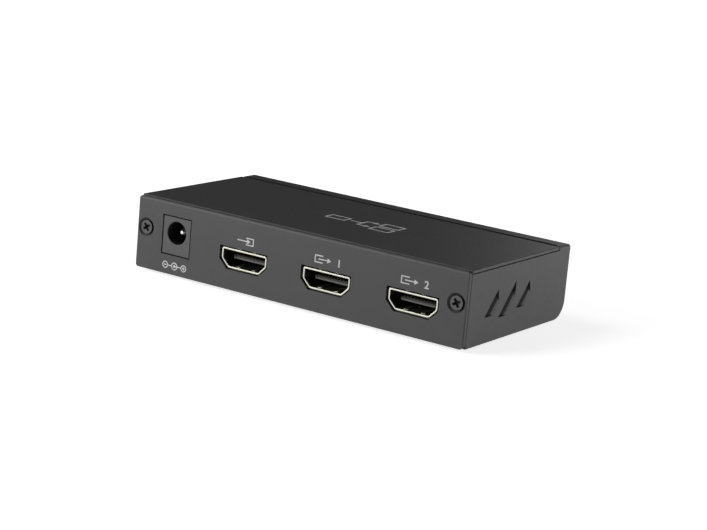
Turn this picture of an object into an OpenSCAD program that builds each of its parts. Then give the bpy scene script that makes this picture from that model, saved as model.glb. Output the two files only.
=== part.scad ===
// Video splitter: one input, two outputs and a power jack in a folded steel case.
// X runs along the case to the right, the sockets face -Y and Z points up.
// The origin lies under the middle of the case, on the surface that the feet stand on.

/* [Case] */
// Height of the case without its feet
case_h = 20.5; // [19:0.5:30]
// Depth of the case over the panel and the rear wall
case_d = 52.5; // [48:0.5:80]
// Thickness of the tray's sheet
wall_t = 1.2; // [0.8:0.1:1.6]
// Outer radius of the tray's lower rear bend
bend_r = 5; // [2:0.5:5.5]
// Radius along the tray's top rear edge
rim_edge_r = 0.8; // [0.2:0.1:1]
// Radius along the ends of the rear rim
rim_end_r = 0.8; // [0.2:0.1:1]
// Radius along the front of the rear rim
rim_front_r = 0.5; // [0.2:0.1:0.8]
// Width of the rim along the rear of the top
rim_w = 5.4; // [4:0.2:8]
// Depth of the ledge that carries the cover's rear edge
ledge_w = 2.5; // [1:0.5:4]
// Dark gap between the cover, the panel and the end walls
seam = 0.25; // [0.1:0.05:0.4]
// Wider gap between the cover and the rear rim
rear_seam = 0.7; // [0.3:0.05:0.9]

/* [Louvres] */
// Louvres in each end wall
louvre_count = 3; // [1:2:3]
// Distance from one louvre to the next
louvre_pitch = 8.1; // [7:0.1:10]
// Distance of the middle louvre from the panel's face
louvre_y = 20.6; // [17:0.2:30]
// Slanted length of the outer louvres
louvre_l = 9; // [6:0.2:11]
// Extra length of the middle louvre
louvre_extra = 2.8; // [0:0.2:4]
// Slant of a louvre above the horizontal
louvre_slant = 48; // [40:1:60]
// Width of a louvre at its lower end
louvre_w = 3.8; // [3:0.2:5]
// Share of a louvre's length along which its flap bends
louvre_share = 0.5; // [0.3:0.05:0.7]
// Angle by which a flap bends in
louvre_bend = 40; // [25:1:45]
// Inner radius of the bend
louvre_bend_r = 0.4; // [0.2:0.05:0.6]
// Gap along a louvre's sheared edges
louvre_gap = 0.15; // [0.1:0.05:0.3]

/* [Cover] */
// Thickness of the cover's sheet
cover_t = 0.9; // [0.6:0.1:1.2]
// Radius along the cover's front and side edges
cover_edge_r = 0.3; // [0.1:0.05:0.5]
// Radius along the cover's rear edge
cover_rear_r = 0.6; // [0.2:0.05:0.6]
// Radius of the cover's corners
cover_corner_r = 0.4; // [0.3:0.1:1.5]
// Depth of the cover's side flanges
flange_h = 4; // [2:0.5:5]
// Gap between a flange and its end wall
flange_gap = 0.3; // [0.1:0.05:0.5]
// Play of a cover ear between the panel and its tab
ear_play = 0.05; // [0.02:0.01:0.1]

/* [Panel] */
// Thickness of the front panel
panel_t = 1.2; // [1:0.1:2]
// Drop of the panel's top edge below the cover
panel_drop = 0.15; // [0:0.05:0.8]
// Radius along the top edge of the panel's face
panel_edge_r = 0.8; // [0.2:0.1:0.9]
// Radius along the other edges of the panel's face
panel_side_r = 0.3; // [0.1:0.05:0.8]
// Radius of the panel's corners
panel_corner_r = 1.2; // [0.4:0.1:2]
// Height of the panel screws above the case's floor
screw_z = 11.7; // [10:0.1:13]
// Distance of the panel screws from the ends of the case
screw_inset = 3.1; // [3:0.1:3.6]
// Diameter of the panel screws
screw_d = 2.5; // [2:0.1:2.6]
// Diameter of the panel screws' heads
screw_head_d = 4.8; // [4.2:0.1:5.2]
// Gap round a screw's head
head_gap = 0.25; // [0.1:0.05:0.4]
// Width of the tabs that take the panel screws
tab_w = 6; // [4:0.2:6.4]

/* [Ports] */
// Distance from the left end to the power jack
left_margin = 13.8; // [12.5:0.1:24]
// Distance from the power jack to the input
jack_to_input = 23.15; // [22:0.05:40]
// Distance from one video socket to the next
socket_pitch = 27; // [23:0.1:40]
// Distance from the last output to the right end
right_margin = 16.05; // [15.8:0.05:30]
// Gap between a socket's shell and its cut-out
socket_gap = 0.5; // [0.2:0.05:0.6]
// Gap between the power jack and its cut-out
jack_gap = 0.35; // [0.1:0.05:0.5]

/* [Video socket] */
// Inner width of a socket
socket_w = 14.1; // [13:0.1:14.4]
// Inner height of a socket
socket_h = 4.5; // [4.2:0.1:5.2]
// Size of the slanted lower corners of a socket
socket_chamfer = 2.1; // [1.5:0.1:2.2]
// Thickness of a shell
shell_t = 0.4; // [0.3:0.05:0.5]
// Length of a shell
shell_l = 11.5; // [10:0.5:13]
// Recess of a shell behind the panel's face
shell_recess = 0.4; // [0.2:0.1:0.8]
// Height of a shell above the board
shell_lift = 0.3; // [0.1:0.1:0.6]
// Width of a tongue
tongue_w = 10.4; // [10:0.1:11]
// Thickness of a tongue
tongue_t = 1; // [0.8:0.1:1.2]
// Recess of a tongue behind the shell's mouth
tongue_recess = 2.6; // [2.4:0.1:3.5]
// Length of the block that closes a shell
block_l = 3.2; // [2:0.2:4]
// Thickness of a contact strip
contact_t = 0.15; // [0.1:0.01:0.2]
// Width of a contact strip
contact_w = 0.28; // [0.2:0.02:0.34]
// Distance from one contact to the next
contact_pitch = 0.5; // [0.45:0.01:0.5]

/* [Power jack] */
// Width of the jack's front block
jack_w = 9.3; // [8.6:0.1:10]
// Height of the jack
jack_h = 10.4; // [10.2:0.1:11.4]
// Length of the jack
jack_l = 14; // [13.5:0.5:15]
// Length of the jack's front block
jack_face_l = 3.4; // [2.5:0.1:5]
// Recess of the jack behind the panel's face
jack_recess = 0.1; // [0:0.1:0.6]
// Height of the jack's bore above the board
bore_z = 6.1; // [5.9:0.1:6.2]
// Diameter of the jack's bore
bore_d = 6.3; // [6:0.1:6.5]
// Depth of the jack's bore
bore_l = 9.8; // [9:0.2:10.4]
// Diameter of the centre pin
pin_d = 2.1; // [1.6:0.1:2.5]
// Recess of the pin's tip behind the jack's face
pin_recess = 2.2; // [1.4:0.1:4]
// Rise of the sprung sleeve contact into the bore
leaf_rise = 0.85; // [0.4:0.05:0.9]
// Width of the sleeve contact
leaf_w = 2; // [1.4:0.1:2.4]
// Thickness of the sleeve contact
leaf_t = 0.35; // [0.2:0.05:0.4]

/* [Board] */
// Height of the standoffs under the board
standoff_h = 3; // [2.4:0.1:4]
// Diameter of the standoffs
standoff_d = 5; // [4.4:0.1:5.6]
// Diameter of the board screws
board_screw_d = 2.5; // [2:0.1:2.8]
// Diameter of the board screws' heads
board_head_d = 4.6; // [4:0.1:5]
// Thickness of the board
board_t = 1.6; // [1:0.1:2]
// Gap between the board and the end walls
board_side_gap = 2.8; // [2.6:0.1:4]
// Gap between the board and the rear wall
board_rear_gap = 1.5; // [1.4:0.1:4]
// Gap between the board and the panel
board_front_gap = 0.8; // [0.4:0.1:1.4]
// Gap round what passes through the board
board_hole_gap = 0.2; // [0.05:0.05:0.3]

/* [Components] */
// Side of the splitter chip
chip_w = 10; // [8:0.5:12]
// Thickness of the splitter chip
chip_t = 1.3; // [0.8:0.1:1.6]
// Leads along each side of the splitter chip
chip_leads = 16; // [8:1:16]
// Diameter of the filter capacitors
filter_cap_d = 5; // [4:0.5:6]
// Height of the filter capacitors
filter_cap_h = 5.4; // [4:0.2:7]
// Side of the power inductor
inductor_w = 6; // [5:0.5:7]
// Height of the power inductor
inductor_h = 3; // [2:0.2:4]
// Height of the lamps above the board
lamp_z = 1.7; // [1.5:0.1:2]
// Diameter of the light pipes
light_pipe_d = 3; // [2:0.1:3]
// Gap round a light pipe in the rear wall
light_pipe_gap = 0.05; // [0.02:0.01:0.1]

/* [Feet] */
// Thickness of the rubber feet
foot_h = 1; // [0.5:0.1:2]
// Diameter of the rubber feet
foot_d = 9; // [6:0.5:10]
// Distance of the feet from the ends of the case
foot_inset_x = 11; // [7:0.5:20]
// Distance of the feet from the front and the rear
foot_inset_y = 10.5; // [8:0.5:16]

/* [Hidden] */

$fn = 64;
SOCKETS = ["input", "output_1", "output_2"];

// Colours
case_grey = "#4d4d4e";
black = "#1c1c1d";
nickel = "#cfcdbd";
gold = "#c9a552";
tin = "#b9bcc0";
board_green = "#1f4d36";
ferrite_grey = "#3a3a3c";
ceramic_tan = "#b08d62";
lamp_white = "#e6e6dc";
pipe_clear = "#dfe6e2";

// A small overlap that joins solids, and how far a cut runs past a face
join = 0.01;
past = 2;

// Places of the case
case_l = left_margin + jack_to_input + 2 * socket_pitch + right_margin;
half_l = case_l / 2;
inner_half_l = half_l - wall_t;
front_y = -case_d / 2;
rear_y = case_d / 2;
panel_back_y = front_y + panel_t;
tray_front_y = panel_back_y + seam;
base_z = foot_h;
floor_z = base_z + wall_t;
top_z = base_z + case_h;
cover_z = top_z - cover_t;
rim_y = rear_y - rim_w;
cover_front_y = panel_back_y + seam;
cover_rear_y = rim_y - rear_seam;
lug_y = cover_rear_y + seam;
panel_h = case_h - panel_drop;

// A louvre's flap starts to bend a little inside the wall, just below its face
flap_lap = 0.2;
flap_start = 0.06;
flap_sink = 0.03;
flap_thinning = 0.05;
flap_steps = 6;

// Places of the board
board_z = floor_z + standoff_h;
board_top = board_z + board_t;
board_front_y = panel_back_y + board_front_gap;
board_rear_y = rear_y - wall_t - board_rear_gap;
board_half_l = inner_half_l - board_side_gap;
leg_reach = 0.6;
leg_z = board_z - leg_reach;

// Places of the ports
jack_x = left_margin - half_l;
input_x = jack_x + jack_to_input;
port_x = [for (i = [0:2]) input_x + i * socket_pitch];
lamp_x = concat([jack_x], port_x);

// Panel screws, the tabs that take them and the cover's ears between the panel and the tabs
screw_x = half_l - screw_inset;
screw_abs_z = base_z + screw_z;
thread_play = 0.05;
collar_wall = 0.4;
collar_l = 1.5;
tab_lift = 1.4;
ear_y = panel_back_y + ear_play;
tab_y = ear_y + cover_t + ear_play;
tab_rear_y = tab_y + wall_t + collar_l;
tab_x = inner_half_l - tab_w;
ear_margin = 0.5;
ear_lift = 1.2;
flange_x = inner_half_l - flange_gap;
flange_margin = 1;

// Video sockets
shell_y = front_y + shell_recess;
shell_rear_y = shell_y + shell_l;
socket_low = board_top + shell_lift + shell_t;
socket_mid = socket_low + socket_h / 2;
socket_top = socket_low + socket_h;
tongue_y = shell_y + tongue_recess;
block_y = shell_rear_y - block_l;
block_foot_l = 0.8;
block_foot_inset = 0.3;
block_foot_drop = 0.4;
block_play = 0.05;
contact_count = 19;
contact_margin = 0.5;
tail_y = shell_rear_y + block_foot_l;
tail_step = 0.5;
tail_foot = 1;
tail_end_y = tail_y + tail_step + tail_foot;

// Legs of a socket's shell
leg_w = 1.2;
leg_inset = 3;
leg_rise = 0.5;
LEG_Y = [shell_y + leg_inset, shell_rear_y - leg_inset];

// Spring fingers of a socket's shell
finger_w = 1.3;
finger_l = 5.4;
finger_recess = 1.2;
finger_y = shell_y + finger_recess;
finger_rise = 0.35;
finger_gap = 0.25;
finger_crest = 2.6;
finger_root = 0.5;
finger_spread = 2.6;

// Power jack
jack_y = front_y + jack_recess;
jack_rear_y = jack_y + jack_l;
jack_bore_z = board_top + bore_z;
bore_low = jack_bore_z - bore_d / 2;
barrel_step = 0.4;
barrel_w = jack_w - 2 * barrel_step;
pin_play = 0.02;
pin_chamfer = 0.6;

// Terminals of the jack: the pin's tag behind it, the sleeve's post under it, a switched tag beside it
tag_t = 0.6;
tag_w = 2;
pin_tag_gap = 0.05;
pin_tag_y = jack_rear_y + pin_tag_gap;
post_inset = 1.5;
post_y = jack_rear_y - post_inset;
post_rise = 0.4;
side_tag_x = jack_x + barrel_w / 2 + pin_tag_gap;
side_tag_y = (jack_y + jack_face_l + jack_rear_y) / 2;

// Sleeve contact of the jack, which turns about its root just in front of the post
leaf_play = 0.3;
leaf_slot_recess = 2.6;
leaf_slot_y = jack_y + leaf_slot_recess;
leaf_slot_end = 0.5;
leaf_root_gap = 0.1;
leaf_root_y = post_y - leaf_root_gap;
leaf_root_rise = 1.8;
leaf_root_z = board_top + leaf_root_rise;
leaf_crest = 3;
leaf_tip = 1;
leaf_tip_drop = 0.5;

// Posts of the board, two between the sockets and two on the flat of the floor at the rear corners
post_r = standoff_d / 2;
post_margin = 1;
front_post_y = shell_y + shell_l / 2;
rear_post_y = min(board_rear_y, rear_y - bend_r) - post_r - post_margin;
rear_post_x = board_half_l - post_r - post_margin;
POSTS = [[(jack_x + jack_w / 2 + input_x - socket_w / 2) / 2, front_post_y],
    [(port_x[1] + port_x[2]) / 2, front_post_y],
    [-rear_post_x, rear_post_y],
    [rear_post_x, rear_post_y]];

// Chips on the board, as length, depth and height
SURGE_ARRAY = [5, 2.5, 0.8];
MEMORY = [4, 5, 1.5];
REGULATOR = [6.5, 3.5, 1.6];
DIODE = [4.3, 2.6, 2.1];
CRYSTAL = [5, 3.2, 1];
CAPACITOR = [0.8, 1.6, 0.8];
RESISTOR = [0.8, 1.6, 0.5];
chip_lift = 0.1;
chip_bevel = 0.2;
lead_t = 0.15;
lead_out = 0.5;
chip_lead_pitch = 0.5;
chip_lead_w = 0.22;
memory_pitch = 1.27;
memory_lead_w = 0.4;
regulator_pitch = 2.3;
regulator_lead_w = 0.7;
regulator_tab_w = 3;

// Places of the chips, a pad's width apart
pad_gap = 1.5;
row_pitch = 1.5;
lead_reach = 2 * lead_out;
array_y = tail_end_y + pad_gap + SURGE_ARRAY[1] / 2;
row_y = array_y + SURGE_ARRAY[1] / 2 + pad_gap + CAPACITOR[1] / 2;
chip_x = (port_x[0] + port_x[1]) / 2;
chip_y = (tail_end_y + board_rear_y) / 2;
chip_ring = chip_w / 2 + lead_reach + pad_gap;
memory_x = chip_x + chip_w / 2 + 4 * pad_gap + MEMORY[0];
crystal_x = chip_x - chip_w / 2 - 2 * pad_gap - CRYSTAL[0] / 2;
supply_y = jack_rear_y + tag_t + pad_gap + filter_cap_d / 2;
regulator_x = jack_x + filter_cap_d + 2 * pad_gap + REGULATOR[0] / 2;
REGULATOR_Y = [supply_y, supply_y + REGULATOR[1] + 2 * lead_reach + 2 * pad_gap];
inductor_y = supply_y + filter_cap_d / 2 + pad_gap + inductor_w / 2;
diode_x = regulator_x;
diode_y = REGULATOR_Y[1] + REGULATOR[1] / 2 + lead_reach + pad_gap + DIODE[1] / 2;

// Lamps and light pipes
lamp_l = 2;
lamp_w = 2.6;
lens_d = 1.8;
lamp_side = 4;
pipe_gap = 0.3;
pipe_sink = 0.1;
pipe_flange_w = 0.4;
pipe_flange_t = 0.6;

// A profile in (y, z), drawn along X to both sides
module along_x(length) {
    rotate([90, 0, 90]) linear_extrude(height = length, center = true) children();
}

// A profile in (x, z), drawn along Y from one place to another
module along_y(from, to) {
    translate([0, to, 0]) rotate([90, 0, 0]) linear_extrude(height = to - from) children();
}

// A round bar along Y
module bar_y(d, from, to) {
    translate([0, from, 0]) rotate([-90, 0, 0]) cylinder(d = d, h = to - from);
}

// A box between two corners
module box(low, high) {
    translate(low) cube(high - low);
}

// A box in the middle of its own length and depth
module block(x, y, size) {
    translate([x - size[0] / 2, y - size[1] / 2, board_top]) cube(size);
}

// Its child and the child's mirror image on the other end of the case
module both_ends() {
    children();
    mirror([1, 0, 0]) children();
}

// What a radius takes off a corner at the origin that points to +X and +Y
module corner_cut(r) {
    translate([-r, -r]) difference() {
        square(r + past);
        circle(r);
    }
}

// A rectangle with round corners, from its lower left corner
module rounded_rect(w, h, r) {
    translate([r, 0]) square([w - 2 * r, h]);
    translate([0, r]) square([w, h - 2 * r]);
    for (x = [r, w - r], y = [r, h - r]) translate([x, y]) circle(r);
}

// A cross-shaped driver recess, sunk along +Z
module cross_recess(w, length, depth) {
    for (turn = [0, 90]) rotate([0, 0, turn])
        translate([-length / 2, -w / 2, -join]) cube([length, w, depth + join]);
}

// Outline of a socket, grown outwards by a wall or a gap
function socket_outline(grow) = let (
    side = socket_w / 2 + grow,
    slip = grow * tan(22.5),
    knee = socket_low + socket_chamfer - slip,
    low = socket_w / 2 - socket_chamfer + slip)
    [[-side, socket_top + grow], [-side, knee], [-low, socket_low - grow],
     [low, socket_low - grow], [side, knee], [side, socket_top + grow]];

// Corners of one louvre in (y, z): its tip, its lower front end, its lower rear end and the top of its bend
function louvre_corners(i) = let (
    off = i - (louvre_count - 1) / 2,
    run = louvre_l + (off == 0 ? louvre_extra : 0),
    along = [cos(louvre_slant), sin(louvre_slant)] * run,
    low_front = [front_y + louvre_y + off * louvre_pitch, base_z + case_h / 2] - along / 2,
    low_rear = low_front + [louvre_w, 0])
    [low_front + along, low_front, low_rear, low_rear + along * louvre_share];

// Folded tray: floor, rear wall, rear rim and end walls

module tray_profile() {
    difference() {
        translate([tray_front_y, base_z]) square([rear_y - tray_front_y, case_h]);
        translate([rear_y, top_z]) corner_cut(rim_edge_r);
        translate([rear_y, base_z]) mirror([0, 1]) corner_cut(bend_r);
    }
}

module rim_front_cut(y) {
    translate([y, top_z]) mirror([1, 0]) corner_cut(rim_front_r);
}

// The front of the rim, from the ledge up to its rounded edge
module rim_front_profile() {
    difference() {
        translate([rim_y, cover_z - wall_t]) square([wall_t, top_z - cover_z + wall_t]);
        rim_front_cut(rim_y);
    }
}

module tray_cavity_profile() {
    difference() {
        union() {
            translate([front_y, floor_z]) square([rear_y - wall_t - front_y, case_h - 2 * wall_t]);
            translate([front_y, floor_z]) square([rim_y - front_y, case_h]);
        }
        translate([rear_y - wall_t, floor_z]) mirror([0, 1]) corner_cut(bend_r - wall_t);
    }
}

module louvre_cut(i) {
    translate([half_l, 0, 0]) along_x(2 * wall_t + 2 * join) polygon(louvre_corners(i));
}

// Section across a flap's bend, from inside the wall to past its free edge, with the wall's face at X = 0
module flap_section() {
    outer_r = wall_t + louvre_bend_r;
    inner_r = louvre_bend_r + flap_thinning;
    turns = [for (k = [0:flap_steps]) k * louvre_bend / flap_steps];
    down = [-sin(louvre_bend), cos(louvre_bend)] * louvre_w;
    outer = [for (turn = turns)
        [outer_r * cos(turn) - outer_r - flap_sink, outer_r * sin(turn) - flap_start]];
    inner = [for (k = [0:flap_steps]) let (turn = turns[flap_steps - k])
        [inner_r * cos(turn) - outer_r, inner_r * sin(turn) - flap_start]];
    polygon(concat([[-flap_lap, -flap_lap]], outer, [outer[flap_steps] + down, inner[0] + down], inner,
        [[flap_lap - wall_t, -flap_lap]]));
}

// A louvre's flap bends in from the line between its lower rear end and the top of its bend
module louvre_flap(i) {
    corners = louvre_corners(i);
    lap = [flap_lap, 0];
    lift = [0, louvre_gap];
    intersection() {
        translate([half_l, 0, 0]) along_x(8 * wall_t)
            polygon([corners[0], corners[1] + [louvre_gap, louvre_gap], corners[2] + lift,
                corners[2] + lift + lap, corners[3] + lap, corners[0] + lap]);
        translate([half_l, corners[2][0], corners[2][1]]) rotate([90 + louvre_slant, 0, 0])
            linear_extrude(height = 4 * louvre_l, center = true) flap_section();
    }
}

module tray_tab() {
    difference() {
        union() {
            box([tab_x, tab_y, board_top + tab_lift], [half_l - wall_t / 2, tab_y + wall_t, cover_z]);
            translate([screw_x, 0, screw_abs_z]) bar_y(screw_d + 2 * collar_wall, tab_y, tab_rear_y);
        }
        translate([screw_x, 0, screw_abs_z])
            bar_y(screw_d + 2 * thread_play, tab_y - past, tab_rear_y + past);
    }
}

// The ledge under the cover's rear edge, joined to the rim by a step
module tray_ledge() {
    ledge_half_l = half_l - wall_t / 2;
    box([-ledge_half_l, rim_y - ledge_w, cover_z - wall_t], [ledge_half_l, rim_y + wall_t, cover_z]);
    along_x(2 * ledge_half_l) rim_front_profile();
}

module case_tray() {
    color(case_grey) {
        difference() {
            along_x(case_l) tray_profile();
            along_x(2 * inner_half_l) tray_cavity_profile();
            box([-half_l - past, front_y, cover_z - seam], [half_l + past, lug_y, top_z + past]);
            for (x = lamp_x) translate([x, 0, board_top + lamp_z])
                bar_y(light_pipe_d + 2 * light_pipe_gap, rear_y - wall_t - past, rear_y + past);
            for (i = [0:louvre_count - 1]) both_ends() louvre_cut(i);
            along_x(2 * inner_half_l) rim_front_cut(rim_y);
            both_ends() translate([half_l, 0, 0]) along_x(2 * wall_t) rim_front_cut(lug_y);
            both_ends() along_y(rim_y - past, rear_y + past)
                translate([half_l, top_z]) corner_cut(rim_end_r);
        }
        tray_ledge();
        both_ends() tray_tab();
        for (i = [0:louvre_count - 1]) both_ends() louvre_flap(i);
    }
}

// Lift-off cover

module cover_plate() {
    intersection() {
        along_y(cover_front_y, cover_rear_y) difference() {
            translate([-half_l, cover_z]) square([case_l, cover_t]);
            for (side = [0, 1]) mirror([side, 0]) translate([half_l, top_z]) corner_cut(cover_edge_r);
        }
        along_x(case_l) difference() {
            translate([cover_front_y, cover_z]) square([cover_rear_y - cover_front_y, cover_t]);
            translate([cover_rear_y, top_z]) corner_cut(cover_rear_r);
            translate([cover_front_y, top_z]) mirror([1, 0]) corner_cut(cover_edge_r);
        }
        translate([-half_l, cover_front_y, cover_z]) linear_extrude(height = cover_t)
            rounded_rect(case_l, cover_rear_y - cover_front_y, cover_corner_r);
    }
}

module cover_flange() {
    box([flange_x - cover_t, tab_rear_y + flange_margin, cover_z - flange_h],
        [flange_x, rim_y - ledge_w - flange_margin, cover_z + cover_t / 2]);
}

// An ear hangs in front of a tab, just above the panel screw
module cover_ear() {
    ear_x = tab_x + ear_margin;
    box([ear_x, ear_y, screw_abs_z + screw_d / 2 + ear_lift], [flange_x, ear_y + cover_t, cover_z]);
    box([ear_x, cover_front_y, cover_z - cover_t], [flange_x, ear_y + cover_t, cover_z + cover_t / 2]);
}

module top_cover() {
    color(case_grey) {
        cover_plate();
        both_ends() cover_flange();
        both_ends() cover_ear();
    }
}

// Connector panel and its screws

module panel_blank() {
    intersection() {
        along_y(front_y, panel_back_y)
            translate([-half_l, base_z]) rounded_rect(case_l, panel_h, panel_corner_r);
        along_x(case_l) difference() {
            translate([front_y, base_z]) square([panel_t, panel_h]);
            translate([front_y, base_z + panel_h]) mirror([1, 0]) corner_cut(panel_edge_r);
            translate([front_y, base_z]) mirror([1, 0]) mirror([0, 1]) corner_cut(panel_side_r);
        }
        translate([0, 0, base_z]) linear_extrude(height = panel_h) difference() {
            translate([-half_l, front_y]) square([case_l, panel_t]);
            for (side = [0, 1]) mirror([side, 0])
                translate([half_l, front_y]) mirror([0, 1]) corner_cut(panel_side_r);
        }
    }
}

// A countersunk screw along Y with its head at y = 0, or the seat for it
module countersunk(d, head_d, length) {
    land = 0.2;
    taper = (head_d - d) / 2;
    rotate([-90, 0, 0]) rotate_extrude() polygon([[0, 0], [head_d / 2, 0], [head_d / 2, land],
        [d / 2, land + taper], [d / 2, length], [0, length]]);
}

module front_panel() {
    color(case_grey) difference() {
        panel_blank();
        for (x = port_x) translate([x, 0, 0])
            along_y(front_y - past, panel_back_y + past) polygon(socket_outline(shell_t + socket_gap));
        box([jack_x - jack_w / 2 - jack_gap, front_y - past, board_top - jack_gap],
            [jack_x + jack_w / 2 + jack_gap, panel_back_y + past, board_top + jack_h + jack_gap]);
        for (side = [-1, 1]) translate([side * screw_x, front_y - join, screw_abs_z])
            countersunk(screw_d + 2 * head_gap, screw_head_d + 2 * head_gap, panel_t + past);
    }
}

module panel_screws() {
    sink = 0.1;
    tip = 0.6;
    recess_w = 0.75;
    recess_l = 2.7;
    recess_h = 0.9;
    length = tab_rear_y + tip - front_y - sink;
    color(black) for (side = [-1, 1]) translate([side * screw_x, front_y + sink, screw_abs_z]) difference() {
        countersunk(screw_d, screw_head_d, length);
        rotate([-90, 0, 0]) cross_recess(recess_w, recess_l, recess_h);
    }
}

// Feet, counted from the front left to the rear right

module rubber_foot(i) {
    side_x = i % 2 == 0 ? -1 : 1;
    side_y = i < 2 ? -1 : 1;
    lip = foot_h / 3;
    color(black) translate([side_x * (half_l - foot_inset_x), side_y * (rear_y - foot_inset_y), 0])
        rotate_extrude() polygon([[0, 0], [foot_d / 2 - lip, 0], [foot_d / 2, lip],
            [foot_d / 2, foot_h], [0, foot_h]]);
}

// Board and what holds it

module leg_slots() {
    for (x = port_x, side = [-1, 1], y = LEG_Y) {
        middle = x + side * (socket_w + shell_t) / 2;
        reach = shell_t / 2 + board_hole_gap;
        box([middle - reach, y - leg_w / 2 - board_hole_gap, board_z - past],
            [middle + reach, y + leg_w / 2 + board_hole_gap, board_top + past]);
    }
}

module terminal_slots() {
    gap = [board_hole_gap, board_hole_gap, past];
    for (y = [pin_tag_y, post_y])
        box([jack_x - tag_w / 2, y, board_z] - gap, [jack_x + tag_w / 2, y + tag_t, board_top] + gap);
    box([side_tag_x, side_tag_y, board_z] - gap, [side_tag_x + tag_t, side_tag_y + tag_w, board_top] + gap);
}

module circuit_board() {
    color(board_green) difference() {
        box([-board_half_l, board_front_y, board_z], [board_half_l, board_rear_y, board_top]);
        leg_slots();
        terminal_slots();
        for (p = POSTS) translate([p[0], p[1], board_z - past])
            cylinder(d = board_screw_d + 2 * board_hole_gap, h = board_t + 2 * past);
    }
}

module board_standoffs() {
    color(tin) for (p = POSTS) translate([p[0], p[1], floor_z]) difference() {
        cylinder(d = standoff_d, h = standoff_h);
        translate([0, 0, -past]) cylinder(d = board_screw_d + 2 * thread_play, h = standoff_h + 2 * past);
    }
}

module board_screws() {
    head_h = 1.6;
    head_round = 0.5;
    recess_w = 0.7;
    recess_l = 2.8;
    recess_h = 0.9;
    tip_gap = 0.5;
    grip = board_t + standoff_h - tip_gap;
    color(tin) for (p = POSTS) translate([p[0], p[1], board_top]) difference() {
        union() {
            translate([0, 0, -grip]) cylinder(d = board_screw_d, h = grip + join);
            rotate_extrude() polygon([[0, 0], [board_head_d / 2, 0], [board_head_d / 2, head_h - head_round],
                [board_head_d / 2 - head_round, head_h], [0, head_h]]);
        }
        translate([0, 0, head_h]) mirror([0, 0, 1]) cross_recess(recess_w, recess_l, recess_h);
    }
}

// Video sockets

// One spring finger in (y, z), rooted in the wall at its rear end, for a wall that starts at z = 0
module finger_profile() {
    polygon([[finger_l + finger_root, 0], [finger_l + finger_root, shell_t], [finger_l, shell_t],
        [finger_crest, shell_t + finger_rise], [0, shell_t], [0, 0],
        [finger_crest, finger_rise], [finger_l, 0]]);
}

module socket_shell(i) {
    window = finger_w / 2 + finger_gap;
    color(nickel) translate([port_x[i], 0, 0]) {
        difference() {
            along_y(shell_y, shell_rear_y) polygon(socket_outline(shell_t));
            along_y(shell_y - past, shell_rear_y + past) polygon(socket_outline(0));
            for (x = [-finger_spread, finger_spread], z = [socket_low - shell_t, socket_top])
                box([x - window, finger_y - finger_gap, z - join],
                    [x + window, finger_y + finger_l, z + shell_t + join]);
        }
        for (x = [-finger_spread, finger_spread]) translate([x, finger_y, 0]) {
            translate([0, 0, socket_low - shell_t]) along_x(finger_w) finger_profile();
            translate([0, 0, socket_top + shell_t]) mirror([0, 0, 1]) along_x(finger_w) finger_profile();
        }
        for (y = LEG_Y) both_ends()
            box([socket_w / 2, y - leg_w / 2, leg_z],
                [socket_w / 2 + shell_t, y + leg_w / 2, socket_mid + leg_rise]);
    }
}

module socket_insulator(i) {
    slot_half = contact_count * contact_pitch / 2;
    slot_h = contact_t + block_play;
    foot_half = socket_w / 2 - block_foot_inset;
    color(black) translate([port_x[i], 0, 0]) difference() {
        union() {
            along_y(block_y, shell_rear_y + join) polygon(socket_outline(-block_play));
            box([-foot_half, shell_rear_y, board_top], [foot_half, tail_y, socket_top - block_foot_drop]);
            box([-tongue_w / 2, tongue_y, socket_mid - tongue_t / 2],
                [tongue_w / 2, block_y + join, socket_mid + tongue_t / 2]);
        }
        for (side = [0, 1]) translate([0, 0, socket_mid]) mirror([0, 0, side])
            box([-slot_half, block_y - past, tongue_t / 2],
                [slot_half, tail_y + past, tongue_t / 2 + slot_h]);
    }
}

// One contact in (y, z): a strip on the tongue, then a tail down to the board
module contact_profile(low) {
    start = tongue_y + contact_margin;
    down = tail_y + tail_step;
    polygon([[start, low], [start, low + contact_t], [down, low + contact_t], [down, board_top + contact_t],
        [tail_end_y, board_top + contact_t], [tail_end_y, board_top], [down - contact_t, board_top],
        [down - contact_t, low]]);
}

// Every second contact runs under the tongue
module socket_contacts(i) {
    above = socket_mid + tongue_t / 2;
    below = socket_mid - tongue_t / 2 - contact_t;
    color(gold) for (k = [0:contact_count - 1])
        translate([port_x[i] + (k - (contact_count - 1) / 2) * contact_pitch, 0, 0])
            along_x(contact_w) contact_profile(k % 2 == 0 ? above : below);
}

// Power jack

module jack_body() {
    slot_half = leaf_w / 2 + leaf_play;
    color(black) difference() {
        union() {
            box([jack_x - jack_w / 2, jack_y, board_top],
                [jack_x + jack_w / 2, jack_y + jack_face_l, board_top + jack_h]);
            translate([jack_x, 0, jack_bore_z]) bar_y(barrel_w, jack_y + jack_face_l - join, jack_rear_y);
            box([jack_x - barrel_w / 2, jack_y + jack_face_l - join, board_top],
                [jack_x + barrel_w / 2, jack_rear_y, jack_bore_z]);
        }
        translate([jack_x, 0, jack_bore_z]) {
            bar_y(bore_d, jack_y - past, jack_y + bore_l);
            bar_y(pin_d + 2 * pin_play, jack_y, jack_rear_y + past);
        }
        box([jack_x - slot_half, leaf_slot_y, board_top - past],
            [jack_x + slot_half, jack_rear_y - leaf_slot_end, bore_low + leaf_t]);
    }
}

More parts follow.
